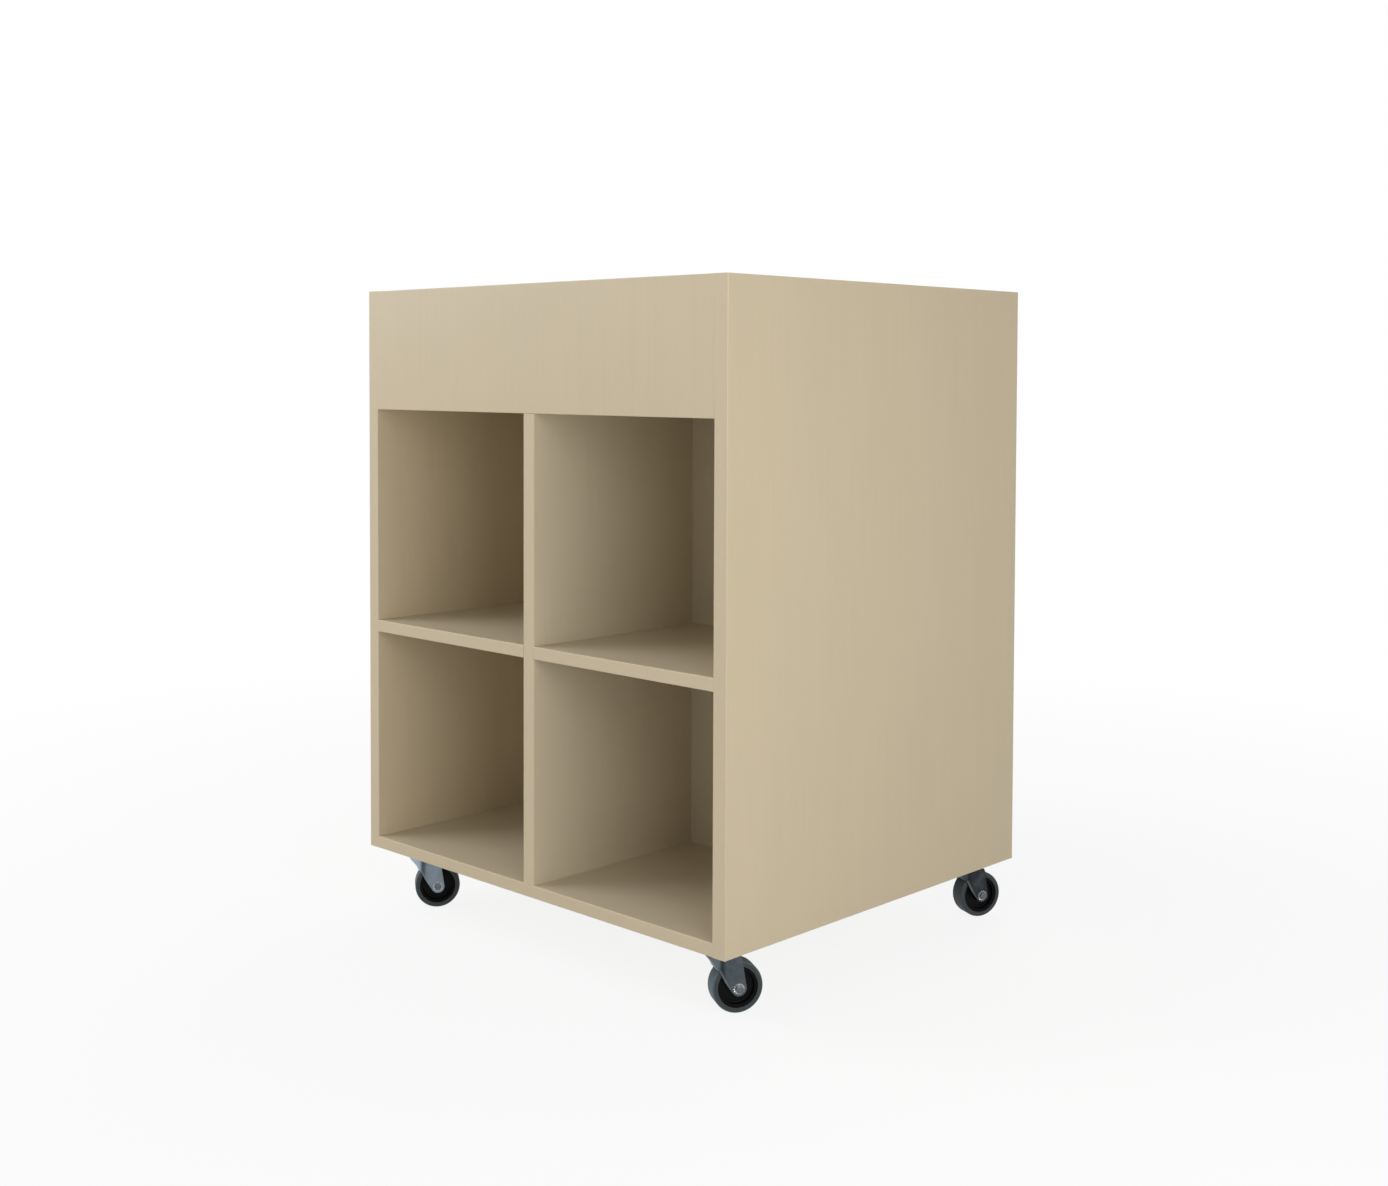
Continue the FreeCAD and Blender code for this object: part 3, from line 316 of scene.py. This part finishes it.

# %% [markdown]
# ## The edge bands
# A 2 mm plastic band is glued round every edge that shows, and its arrises are scraped round.
# The band is the laminate's colour, but it is plastic right through, so it is a little smoother,
# and it has scraper marks along its length instead of a print. Each arris gets a pale painted
# highlight, faint low down and strongest near the top, where the arris is also made a little smoother.
# An arris is where the surface stands askew to all three directions of the box, and then the
# fourth powers of its normal add up to less than one.

# %% Edge band plastic
BAND = (0.612, 0.514, 0.350)
BAND_TONES = (0.96, 1.04)
SCUFF_TONE = 0.80
ARRIS_HIGHLIGHT_TONE = 1.30
LEAST_ARRIS_HIGHLIGHT = 0.15
ARRIS_HIGHLIGHT_BETWEEN = (0.70, 0.94)
SCRAPES_PER_METRE = 900
BAND_CLOUDS_PER_METRE = 14
SCUFFS_PER_METRE = 160
SCRAPE_DEPTH = 0.00003


def edge_band(name, shift):
    """Beige plastic edging with fine scraper marks, a few scuffs and a painted highlight on its arrises."""
    bench = Finish(name)
    scrape = bench.noise(bench.place((1, 1, 0.02), shift), SCRAPES_PER_METRE, 2)
    cloud = bench.noise(bench.place(shift=shift), BAND_CLOUDS_PER_METRE, 2)
    rub = bench.noise(bench.place((1, 1, 0.3), shift), SCUFFS_PER_METRE, 3)
    scuff = bench.above(rub, 0.62, 0.78)
    colour = bench.vary(scrape * 0.3 + cloud * 0.7, BAND, *BAND_TONES)
    colour = bench.tint(scuff * 0.12, colour, shade(BAND, SCUFF_TONE))
    squares = bench.vector("MULTIPLY", bench.normal(), bench.normal())
    arris = bench.above(1 - bench.number("DOT_PRODUCT", squares, squares), 0.25, 0.48)
    height = bench.number("DOT_PRODUCT", bench.point(), (0, 0, 1))
    # Painted highlight: the arris is made paler, faintly all the way up and fully near the top; the same share
    # makes it smoother.
    highlight_towards_top = bench.above(height, *ARRIS_HIGHLIGHT_BETWEEN)
    polish_and_highlight = arris * (LEAST_ARRIS_HIGHLIGHT + (1 - LEAST_ARRIS_HIGHLIGHT) * highlight_towards_top)
    colour = bench.tint(polish_and_highlight, colour, shade(BAND, ARRIS_HIGHLIGHT_TONE))
    relief = bench.bump(scrape, SCRAPE_DEPTH, 0.35)
    roughness = 0.48 + scuff * 0.16 + (cloud - 0.5) * 0.08 - polish_and_highlight * 0.12
    return bench.complete(Base_Color=colour, Roughness=roughness, Normal=relief)


print("edge bands polished more and more between", ARRIS_HIGHLIGHT_BETWEEN, "m up")

# %% Band every edge
NEXT_REEL = (0.41, 0, 0.29)
BAND_NODES = [node for node in NODES if node.startswith("edge_bands")]

for number, node in enumerate(sorted(BAND_NODES)):
    wear(node, edge_band("edging_" + node, elsewhere(number, NEXT_REEL)))
print(len(BAND_NODES), "sets of edge bands finished")

# %% [markdown]
# ## Beech dowels
# The dowels sit inside the joints, where nobody looks, but the model can be opened up.
# They are raw beech: pinkish, with short dark flecks.

# %% Raw beech
BEECH = (0.60, 0.42, 0.26)
BEECH_TONES = (0.86, 1.14)
FLECK_TONE = 0.55
FLECKS_PER_METRE = 1400
BEECH_CLOUDS_PER_METRE = 90
FLECK_DEPTH = 0.00008


def beech(name):
    """Raw beech with short flecks."""
    bench = Finish(name)
    fleck = bench.above(bench.noise(bench.place((1, 1, 0.2)), FLECKS_PER_METRE, 2), 0.56, 0.70)
    cloud = bench.noise(bench.place(), BEECH_CLOUDS_PER_METRE, 2)
    colour = bench.vary(cloud, BEECH, *BEECH_TONES)
    colour = bench.tint(fleck * 0.5, colour, shade(BEECH, FLECK_TONE))
    relief = bench.bump(fleck, FLECK_DEPTH)
    return bench.complete(Base_Color=colour, Roughness=0.62 + cloud * 0.2, Normal=relief)


wear("dowels", beech("raw_beech"))
print("dowels finished")

# %% [markdown]
# ## The casters' axles
# Much of a caster is arranged round its axle: the tread's dust and painted highlight, the painted
# shade in the fork's fold, the painted highlight on the rim of the fork's legs, the rings on the wheel.
# The joints that the wheels turn on say where each axle is and which way it points, so that is read
# once and used by every finish and piece below.

# %% Find the axles
CASTERS = ["front_left", "front_right", "rear_left", "rear_right"]
AXLES = {joint["child"].replace("wheel_", ""): (Vector(joint["pos_m"]), Vector(joint["axis"]))
         for joint in frame["joints"] if joint["child"].startswith("wheel_")}


def on_axle(caster):
    """The turn and move that take a part made round the Z axis onto a caster's axle."""
    middle, direction = AXLES[caster]
    return Matrix.Translation(middle) @ direction.to_track_quat("Z", "Y").to_matrix().to_4x4()


def from_middle(bench, caster):
    """The way from the middle of a wheel to the point on the object."""
    return bench.vector("SUBTRACT", bench.point(), AXLES[caster][0])


def along_axle(bench, caster):
    """The distance from the middle of the wheel along its axle, either way."""
    return abs(bench.number("DOT_PRODUCT", from_middle(bench, caster), AXLES[caster][1]))


def ahead_of_axle(bench, caster):
    """The level distance from the axle towards the front of the fork."""
    forward = AXLES[caster][1].cross(Vector((0, 0, -1)))
    return bench.number("DOT_PRODUCT", from_middle(bench, caster), forward)


def from_axle(bench, caster):
    """The distance out from a caster's axle."""
    across = bench.vector("CROSS_PRODUCT", from_middle(bench, caster), AXLES[caster][1])
    return bench.number("LENGTH", across)


for caster in CASTERS:
    print(caster, "axle height", round(AXLES[caster][0].z, 4))

# %% [markdown]
# ## Zinc plated steel
# Fork and top plate are pressed from sheet and zinc plated. The plating is a blue-grey with soft
# cloudy patches, it is duller where it was handled, and the press leaves fine lines.
# A metal's colour is its reflection, so the patches change the roughness as well as the tint.
# Three marks are painted on the fork, each placed by its distance from the axle. The die folded the
# legs back from the nose, and a band of painted shade darkens that upright fold. The nose in front of
# the fold is made paler by a painted highlight. The rim of each leg gets a pale painted highlight:
# that is where a surface within the thickness of a leg turns away from the axle.
# Each caster's plating is made lighter or darker by its own factor, painted light and shade for how it is lit
# under the bin.

# %% Plated sheet and plated fixings
ZINC = (0.105, 0.132, 0.155)
RIM_HIGHLIGHT = (0.30, 0.32, 0.335)
DUST = (0.20, 0.19, 0.175)
PLATING_TONES = (0.78, 1.22)
FOLD_SHADE_TONE = 0.20
NOSE_HIGHLIGHT_TONE = 2.30
LEG_INSIDE = (0.0159, 0.0161)
LEG_REACH = (0.034, 0.036)
FOLD_BEGINS = (0.017, 0.021)
FOLD_ENDS = (0.024, 0.028)
SCRATCHES_PER_METRE = 2600
PLATING_DEPTH = 0.00004


def painted_fork_light_and_shade(bench, caster):
    """The shares of painted shade in the fold, painted highlight on the nose and painted highlight on the rim at a
    point of the fork.
    """
    ahead = ahead_of_axle(bench, caster)
    nose = bench.fade(ahead, *FOLD_ENDS)
    fold = bench.fade(ahead, *FOLD_BEGINS) * (1 - nose)
    in_leg = bench.fade(along_axle(bench, caster), *LEG_INSIDE)
    near_axle = 1 - bench.fade(from_axle(bench, caster), *LEG_REACH)
    sideways = abs(bench.number("DOT_PRODUCT", bench.normal(), AXLES[caster][1]))
    turned_away = 1 - bench.above(sideways, 0.80, 0.97)
    return fold, nose, in_leg * turned_away * near_axle


def plated_steel(name, colour, roughness, patch_scale, shift=(0, 0, 0), caster=None):
    """Zinc plated steel with cloudy patches, fine scratches and a little grey dust; on a fork also
    painted shade in the fold and painted highlights on the nose and leg rims.
    """
    bench = Finish(name)
    patch = bench.noise(bench.place(shift=shift), patch_scale, 3)
    mark = bench.noise(bench.place((1, 1, 0.06), shift), SCRATCHES_PER_METRE, 2)
    scratch = bench.above(mark, 0.58, 0.72)
    dust = bench.above(bench.noise(bench.place(shift=shift), patch_scale * 0.4, 4), 0.46, 0.70)
    tint = bench.vary(patch, colour, *PLATING_TONES)
    tint = bench.tint(dust * 0.15, tint, shade(DUST, 1))
    if caster:
        fold, nose, rim = painted_fork_light_and_shade(bench, caster)
        # Painted shade darkens the fold, and painted highlights pale the nose and the rims of the legs.
        tint = bench.tint(fold * 0.75, tint, shade(colour, FOLD_SHADE_TONE))
        tint = bench.tint(nose * 0.70, tint, shade(colour, NOSE_HIGHLIGHT_TONE))
        tint = bench.tint(rim * 0.35, tint, shade(RIM_HIGHLIGHT, 1))
    matt = roughness + (patch - 0.5) * 0.18 + scratch * 0.10 + dust * 0.14
    metal = 0.9 - dust * 0.3
    relief = bench.bump(patch * 0.5 + scratch * 0.5, PLATING_DEPTH, 0.5)
    return bench.complete(Base_Color=tint, Metallic=metal, Roughness=matt, Normal=relief)


print("the fold lies", FOLD_BEGINS[0], "to", FOLD_ENDS[1], "m ahead of the axle")

# %% Plate every caster
FIXING_STEEL = (0.13, 0.14, 0.15)
WASHER_STEEL = (0.44, 0.46, 0.48)
BALL_STEEL = (0.62, 0.62, 0.64)
SHEET_ROUGHNESS = 0.40
SHEET_PATCHES_PER_METRE = 140
CASTER_LIGHT_AND_SHADE = {"front_left": 2.05, "front_right": 0.62, "rear_left": 1.10, "rear_right": 0.25}

fixing = plated_steel("plated_fixings", FIXING_STEEL, roughness=0.30, patch_scale=320)
washer_steel = plated_steel("bright_washers", WASHER_STEEL, roughness=0.22, patch_scale=700)
ball_steel = plated_steel("ball_steel", BALL_STEEL, roughness=0.12, patch_scale=700)
wear("caster_screws", fixing)
for number, caster in enumerate(CASTERS):
    shift = (0.3 * number, 0.2, 0.1)
    # Painted light and shade: each caster's zinc is scaled lighter or darker for how it is lit.
    zinc = tuple(channel * CASTER_LIGHT_AND_SHADE[caster] for channel in ZINC)
    sheet = (zinc, SHEET_ROUGHNESS, SHEET_PATCHES_PER_METRE, shift)
    wear("caster_plate_" + caster, plated_steel("plated_plate_" + caster, *sheet))
    wear("caster_fork_" + caster, plated_steel("plated_fork_" + caster, *sheet, caster))
    for piece in ("kingpin", "axle_bolt", "axle_nut", "sleeve"):
        wear("caster_%s_%s" % (piece, caster), fixing)
    wear("caster_balls_" + caster, ball_steel)
print("steel finished on", len(CASTERS), "casters")

# %% [markdown]
# ## Broken edges on the steel
# CAD edges are perfectly sharp, and a perfectly sharp edge never catches the light. Pressed sheet
# and turned bolts come out of the barrel with their edges rubbed down by part of a millimetre.
# A Bevel modifier does that, but the loaded mesh is loose triangles with nothing to bevel, so it
# works on a copy whose doubles are merged and whose flat faces are joined up again.
# The copy stands for the CAD piece, which stays as it was.

# %% Rub down the sharp edges
SHARP = math.radians(35)
FLAT = math.radians(0.5)
SAME_POINT = 0.000001
RUBBED_BY = {"fork": 0.0005, "plate": 0.0004, "axle_bolt": 0.0003, "axle_nut": 0.0003}
BODIES = frame["record"]["behaviour"]["bodies"]


def rub_down(node, width):
    """Show a copy of a CAD piece with its sharp edges broken by a small bevel."""
    body = next(name for name, members in BODIES.items() if node in members)
    mesh = NODES[node].data.copy()
    shell = bmesh.new()
    shell.from_mesh(mesh)
    bmesh.ops.remove_doubles(shell, verts=shell.verts, dist=SAME_POINT)
    bmesh.ops.dissolve_limit(shell, angle_limit=FLAT, verts=shell.verts, edges=shell.edges)
    shell.to_mesh(mesh)
    shell.free()
    mesh.shade_smooth()
    mesh.set_sharp_from_angle(angle=SHARP)
    piece = bpy.data.objects.new(node + "_rubbed", mesh)
    bpy.context.scene.collection.objects.link(piece)
    bevel = piece.modifiers.new("rubbed_edges", "BEVEL")
    bevel.width = width
    bevel.segments = 2
    bevel.limit_method = "ANGLE"
    bevel.angle_limit = SHARP
    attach(piece, body)
    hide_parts(node)
    return len(mesh.polygons)


for caster in CASTERS:
    faces = {piece: rub_down("caster_%s_%s" % (piece, caster), width)
             for piece, width in RUBBED_BY.items()}
    print(caster, "rubbed down, in faces:", faces)

# %% [markdown]
# ## Hub and tyre
# The hub is moulded in black plastic with a faint texture from the mould, and floor dust gathers
# on it. The tyre is a dark blue-grey rubber. Its tread is paler and duller where it rolls, partly
# dust and partly a painted highlight, which depends on the distance from the axle. Each wheel's tread
# tone is scaled by its own factor, painted light and shade for how it is lit, darkest at the rear right.

# %% Black hub plastic
HUB_BLACK = (0.0020, 0.0020, 0.0023)
MOULD_TONES = (0.8, 1.25)
MOULD_GRAINS_PER_METRE = 2400
FILM_PATCHES_PER_METRE = 90
MOULD_DEPTH = 0.00005


def hub_plastic(name, shift):
    """Black moulded plastic with mould texture and a film of dust."""
    bench = Finish(name)
    texture = bench.noise(bench.place(shift=shift), MOULD_GRAINS_PER_METRE, 2)
    patch = bench.noise(bench.place(shift=shift), FILM_PATCHES_PER_METRE, 3)
    film = bench.above(patch, 0.48, 0.80)
    colour = bench.vary(texture, HUB_BLACK, *MOULD_TONES)
    colour = bench.tint(film * 0.008, colour, shade(DUST, 1))
    roughness = 0.50 + film * 0.20 + (texture - 0.5) * 0.10
    relief = bench.bump(texture, MOULD_DEPTH, 0.6)
    return bench.complete(Base_Color=colour, Roughness=roughness, Normal=relief,
                          Specular_IOR_Level=0.1)


NEXT_WHEEL = (0.17, 0.31, 0)
plastic_of = {}
for number, caster in enumerate(CASTERS):
    plastic_of[caster] = hub_plastic("hub_plastic_" + caster, elsewhere(number, NEXT_WHEEL))
    wear("caster_hub_" + caster, plastic_of[caster])
print(len(plastic_of), "hubs finished")

# %% Rubber that knows its axle
RUBBER = (0.020, 0.026, 0.027)
TREAD_DUST_AND_HIGHLIGHT = (0.098, 0.144, 0.180)
RUBBER_TONES = (0.80, 1.20)
MOTTLES_PER_METRE = 220
RUBBER_GRAINS_PER_METRE = 1800
RUBBER_DEPTH = 0.00008
TREAD_BEGINS = (0.93, 0.985)
TREAD_LIGHT_AND_SHADE_OF = {"front_left": 0.90, "front_right": 1.0, "rear_left": 0.90, "rear_right": 0.38}


def tyre_rubber(name, caster, shift):
    """Dark rubber, paler and duller towards the tread, from dust and a painted highlight."""
    bench = Finish(name)
    tread_radius = AXLES[caster][0].z
    tread = bench.above(from_axle(bench, caster) * (1 / tread_radius), *TREAD_BEGINS)
    mottle = bench.noise(bench.place(shift=shift), MOTTLES_PER_METRE, 4)
    grain = bench.noise(bench.place(shift=shift), RUBBER_GRAINS_PER_METRE, 2)
    dust = bench.above(mottle, 0.42, 0.74)
    colour = bench.vary(grain, RUBBER, *RUBBER_TONES)
    # Dust and painted highlight on the tread, scaled for each wheel as painted light and shade.
    colour = bench.tint(tread * 0.8 + dust * 0.10, colour, shade(TREAD_DUST_AND_HIGHLIGHT, TREAD_LIGHT_AND_SHADE_OF[caster]))
    roughness = 0.50 + (mottle - 0.5) * 0.25 + tread * 0.12
    relief = bench.bump(grain, RUBBER_DEPTH, 0.6)
    return bench.complete(Base_Color=colour, Roughness=roughness, Normal=relief)


rubber_of = {}
for number, caster in enumerate(CASTERS):
    shift = elsewhere(number, NEXT_WHEEL)
    rubber_of[caster] = tyre_rubber("tyre_rubber_" + caster, caster, shift)
    wear("caster_tyre_" + caster, rubber_of[caster])
print(len(rubber_of), "tyres finished")

# %% [markdown]
# ## A jig for small repeated parts
# The rings on a wheel and the teeth of a lock washer are one shape repeated by a rule, which is
# what Geometry Nodes are for. A jig is a tree with named sizes. It is run on an empty object, its
# result is kept as a plain mesh, and the modifier goes away again, so that what rides on the
# caster is ordinary geometry. A modifier knows its inputs by an identifier and not by their name.

# %% A bench for one Geometry Nodes tree
class Jig(Bench):
    """A Geometry Nodes tree with named sizes that makes one small part round the Z axis."""

    KINDS = {float: "NodeSocketFloat", int: "NodeSocketInt"}

    def __init__(self, name, sizes):
        super().__init__(bpy.data.node_groups.new(name, "GeometryNodeTree"))
        face = self.tree.interface
        face.new_socket("Geometry", in_out="OUTPUT", socket_type="NodeSocketGeometry")
        self.identifiers = {}
        for label, kind in sizes.items():
            socket = face.new_socket(label, in_out="INPUT", socket_type=self.KINDS[kind])
            self.identifiers[label] = socket.identifier
        material = face.new_socket("Material", in_out="INPUT", socket_type="NodeSocketMaterial")
        self.identifiers["Material"] = material.identifier
        self.entry = self.tree.nodes.new("NodeGroupInput")

    def size(self, label):
        """The wire that carries one of the named inputs."""
        return Wire(self, self.entry.outputs[label])

    def at(self, x, y, z):
        """A vector from three numbers or wires."""
        return self.add("ShaderNodeCombineXYZ", {}, {"X": x, "Y": y, "Z": z})

    def on_both_sides(self, part, distance):
        """The part twice, at a distance either way along the axis."""
        pair = []
        for way in (distance, 0 - distance):
            sockets = {"Geometry": part, "Translation": self.at(0, 0, way)}
            pair.append(self.add("GeometryNodeTransform", {}, sockets))
        return self.add("GeometryNodeJoinGeometry", {}, {"Geometry": pair})

    def circle(self, radius, resolution):
        """A circle curve round the Z axis."""
        sockets = {"Resolution": resolution, "Radius": radius}
        return self.add("GeometryNodeCurvePrimitiveCircle", {"mode": "RADIUS"}, sockets)

    def sweep(self, line, section):
        """A section carried along a line."""
        sockets = {"Curve": line, "Profile Curve": section}
        return self.add("GeometryNodeCurveToMesh", {}, sockets)

    def close(self, part):
        """End the tree with real geometry that has its material."""
        real = self.add("GeometryNodeRealizeInstances", {}, {"Geometry": part})
        sockets = {"Geometry": real, "Material": self.size("Material")}
        painted = self.add("GeometryNodeSetMaterial", {}, sockets)
        self.feed(self.tree.nodes.new("NodeGroupOutput").inputs["Geometry"], painted)

    def make(self, name, body, seat, **values):
        """Run the jig with these sizes, put the part on its seat and let it ride on a body."""
        piece = bpy.data.objects.new(name, bpy.data.meshes.new(name + "_blank"))
        bpy.context.scene.collection.objects.link(piece)
        run = piece.modifiers.new("jig", "NODES")
        run.node_group = self.tree
        for label, value in values.items():
            run[self.identifiers[label.replace("_", " ")]] = value
        graph = bpy.context.evaluated_depsgraph_get()
        mesh = bpy.data.meshes.new_from_object(piece.evaluated_get(graph))
        piece.modifiers.remove(run)
        mesh.transform(seat)
        piece.data = mesh
        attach(piece, body)
        return mesh


print("jigs can be made")

# %% [markdown]
# ## Rings on the wheel
# A moulded tyre has a fine raised line round each side wall, and the hub has one where its rim
# and its boss begin. The jig sets points in a row, puts a circle on each that grows with its
# number, and sweeps a round bead along the circles. It makes both sides of the wheel at once.

# %% The ring jig
RING_CORNERS = 96
BEAD_CORNERS = 8

rings = Jig("rings_on_axle", {"First Radius": float, "Step": float, "Rings": int,
                              "Bead": float, "Half Width": float})
row = rings.add("GeometryNodePoints", {}, {"Count": rings.size("Rings")})
number_in_row = rings.add("GeometryNodeInputIndex")
radius = rings.size("First Radius") + number_in_row * rings.size("Step")
growing = {"Points": row, "Instance": rings.circle(1.0, RING_CORNERS),
           "Scale": rings.at(radius, radius, radius)}
circles = rings.add("GeometryNodeInstanceOnPoints", {}, growing)
real_circles = rings.add("GeometryNodeRealizeInstances", {}, {"Geometry": circles})
swept = rings.sweep(real_circles, rings.circle(rings.size("Bead"), BEAD_CORNERS))
smooth = rings.add("GeometryNodeSetShadeSmooth", {}, {"Geometry": swept})
rings.close(rings.on_both_sides(smooth, rings.size("Half Width")))
print("the ring jig has", len(rings.tree.nodes), "nodes")

# %% Rings on each tyre and hub
WHEEL_SIDE = 0.0129
TYRE_LINES = {"First_Radius": 0.0284, "Step": 0.0022, "Rings": 2, "Bead": 0.00032}
HUB_LINE = {"First_Radius": 0.0245, "Step": 0.0010, "Rings": 1, "Bead": 0.00030}

for caster in CASTERS:
    tyre_lines = rings.make("tyre_side_rings_" + caster, "wheel_" + caster, on_axle(caster),
                            **TYRE_LINES, Half_Width=WHEEL_SIDE, Material=rubber_of[caster])
    hub_lines = rings.make("hub_face_rings_" + caster, "wheel_" + caster, on_axle(caster),
                           **HUB_LINE, Half_Width=WHEEL_SIDE, Material=plastic_of[caster])
    print(caster, "ring faces", len(tyre_lines.polygons), len(hub_lines.polygons))

# %% [markdown]
# ## Dust seals
# Between the top plate and the fork's crown runs the ring of balls. A soft black lip closes the
# gap round them and keeps hair and grit out. The same jig makes it, as two beads close together.

# %% One seal for each ball race
SEAL_LIPS = {"First_Radius": 0.0122, "Step": 0.001, "Rings": 1, "Bead": 0.00048,
             "Half_Width": 0.00044}

for caster in CASTERS:
    lowest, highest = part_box("caster_balls_" + caster)
    race_middle = (Vector(lowest) + Vector(highest)) / 2
    rings.make("dust_seal_" + caster, "swivel_" + caster, Matrix.Translation(race_middle),
               **SEAL_LIPS, Material=plastic_of[caster])
    print(caster, "seal", round(race_middle.z, 4), "m above the floor")

# %% [markdown]
# ## Toothed lock washers
# An axle that turns would slacken a plain nut, so a lock washer with a ring of twisted teeth bites
# into the leg under the bolt's head and under the nut. The jig sweeps a flat band round a circle
# and sets a tooth on each corner of a polygon, turned to face outwards and twisted a little.

# %% The washer jig: its band
WASHER_CORNERS = 48

washers = Jig("toothed_washers", {"Band Radius": float, "Band Width": float, "Teeth": int,
                                  "Tooth Length": float, "Thickness": float, "Twist": float,
                                  "Half Width": float})
band_radius = washers.size("Band Radius")
band_width = washers.size("Band Width")
thickness = washers.size("Thickness")
band_section = washers.add("GeometryNodeCurvePrimitiveQuadrilateral", {"mode": "RECTANGLE"},
                           {"Width": band_width, "Height": thickness})
band_mesh = washers.sweep(washers.circle(band_radius, WASHER_CORNERS), band_section)
print("the washer's band takes", len(washers.tree.nodes), "nodes")

# %% The washer jig: its teeth
tooth_length = washers.size("Tooth Length")
tooth_count = washers.size("Teeth")
tooth_circle = band_radius + band_width * 0.5 + tooth_length * 0.4
corners = washers.add("GeometryNodeMeshCircle", {"fill_type": "NONE"},
                      {"Vertices": tooth_count, "Radius": tooth_circle})
tooth_size = washers.at(tooth_length, tooth_length * 0.8, thickness)
tooth = washers.add("GeometryNodeMeshCube", {}, {"Size": tooth_size})
turn = washers.add("GeometryNodeInputIndex") * (2 * math.pi / tooth_count)
tooth_turn = washers.at(washers.size("Twist"), 0, turn)
teeth = washers.add("GeometryNodeInstanceOnPoints", {},
                    {"Points": corners, "Instance": tooth, "Rotation": tooth_turn})
whole = washers.add("GeometryNodeJoinGeometry", {}, {"Geometry": [band_mesh, teeth]})
faceted = washers.add("GeometryNodeSetShadeSmooth", {},
                      {"Geometry": whole, "Shade Smooth": False})
washers.close(washers.on_both_sides(faceted, washers.size("Half Width")))
print("with its teeth the jig has", len(washers.tree.nodes), "nodes")

# %% Washers on each axle
WASHER = {"Band_Radius": 0.0058, "Band_Width": 0.0018, "Teeth": 14, "Tooth_Length": 0.0012,
          "Thickness": 0.0006, "Twist": math.radians(22), "Half_Width": 0.0188}

for caster in CASTERS:
    pair = washers.make("lock_washers_" + caster, "swivel_" + caster, on_axle(caster),
                        **WASHER, Material=washer_steel)
    print(caster, "washer faces", len(pair.polygons))

# %% [markdown]
# ## The studio
# The floor is a plain pale sheet without an edge. The background is white by colour, not by more
# light: rays from the camera, and reflections, see a floor that is mostly a flat white, while light
# that falls on the object comes from plain large lamps. Round the bin the floor keeps enough of its
# own surface to show the soft shadow, and further away it fades to white, so no horizon shows.

# %% Wide floor
FLOOR_HALF = 12.0

corner_signs = ((-1, -1), (1, -1), (1, 1), (-1, 1))
floor_corners = [(x * FLOOR_HALF, y * FLOOR_HALF, 0) for x, y in corner_signs]
floor_mesh = bpy.data.meshes.new("floor")
floor_mesh.from_pydata(floor_corners, [], [(0, 1, 2, 3)])
floor = bpy.data.objects.new("floor", floor_mesh)
bpy.context.scene.collection.objects.link(floor)
print("floor laid,", 2 * FLOOR_HALF, "m across")

# %% Paper that fades to white
FLOOR_WHITE = 0.80
FLOOR_TONES = (0.99, 1.01)
NEAR_WHITE = 0.87
SHADOW_ROOM = (0.7, 2.4)
FIBRES_PER_METRE = 60

paper = Finish("studio_paper")
fibre = paper.noise(paper.place(), FIBRES_PER_METRE, 3)
colour = paper.vary(fibre, (FLOOR_WHITE, FLOOR_WHITE, FLOOR_WHITE), *FLOOR_TONES)
paper.complete(Base_Color=colour, Roughness=0.9)
glow = paper.add("ShaderNodeEmission", {}, {"Color": (1, 1, 1, 1), "Strength": 1.0})
seen_by_camera = paper.add("ShaderNodeLightPath", output="Is Camera Ray")
seen_in_gloss = paper.add("ShaderNodeLightPath", output="Is Glossy Ray")
from_bin = paper.number("LENGTH", paper.place())
far_off = paper.fade(from_bin, *SHADOW_ROOM, unit=10)
share = (seen_by_camera + seen_in_gloss) * (NEAR_WHITE + far_off * (1 - NEAR_WHITE))
lit = Wire(paper, paper.shader.outputs["BSDF"])
mixed = paper.add("ShaderNodeMixShader", {}, {0: share, 1: lit, 2: glow})
paper.feed(paper.tree.nodes["Material Output"].inputs["Surface"], mixed)
floor_mesh.materials.append(paper.material)
print("the paper keeps its shadow to", SHADOW_ROOM[0], "m and is white from", SHADOW_ROOM[1], "m")

# %% Sky light
AMBIENT = 0.37

world = bpy.data.worlds.new("studio_air")
world.use_nodes = True
bpy.context.scene.world = world
air = Bench(world.node_tree)
seen_by_camera = air.add("ShaderNodeLightPath", output="Is Camera Ray")
seen_in_gloss = air.add("ShaderNodeLightPath", output="Is Glossy Ray")
sockets = {0: seen_by_camera, 1: seen_in_gloss}
plain_white = air.add("ShaderNodeMath", {"operation": "MAXIMUM"}, sockets)
strength = air.add("ShaderNodeMapRange", {},
                   {"Value": plain_white, "To Min": AMBIENT, "To Max": 1.0})
sky = air.tree.nodes["Background"]
air.feed(sky.inputs["Color"], (1, 1, 1, 1))
air.feed(sky.inputs["Strength"], strength)
print("ambient light", AMBIENT)

# %% [markdown]
# ## Soft light
# Two soft lamps stand in front of the bin, one for each face that the camera sees, so that
# neither face goes flat or dark. The one for the side is small and near, which lets the panel fall
# off gently towards its far edge. A weak one from behind lifts the far side.

# %% Soft lamps
AIM = Vector((0, 0, 0.55))


def soft_lamp(name, place, size, power):
    """A square lamp that looks at the middle of the bin."""
    light = bpy.data.lights.new(name, "AREA")
    light.size = size
    light.energy = power
    lamp = bpy.data.objects.new(name, light)
    gaze = (AIM - Vector(place)).to_track_quat("-Z", "Y").to_matrix().to_4x4()
    lamp.matrix_world = Matrix.Translation(place) @ gaze
    bpy.context.scene.collection.objects.link(lamp)


soft_lamp("lamp_for_the_front", place=(-2.3, -1.9, 2.0), size=2.0, power=48)
soft_lamp("lamp_for_the_side", place=(1.9, -0.9, 0.85), size=1.2, power=16.5)
soft_lamp("lamp_behind", place=(-1.5, 3.2, 2.4), size=2.0, power=30)
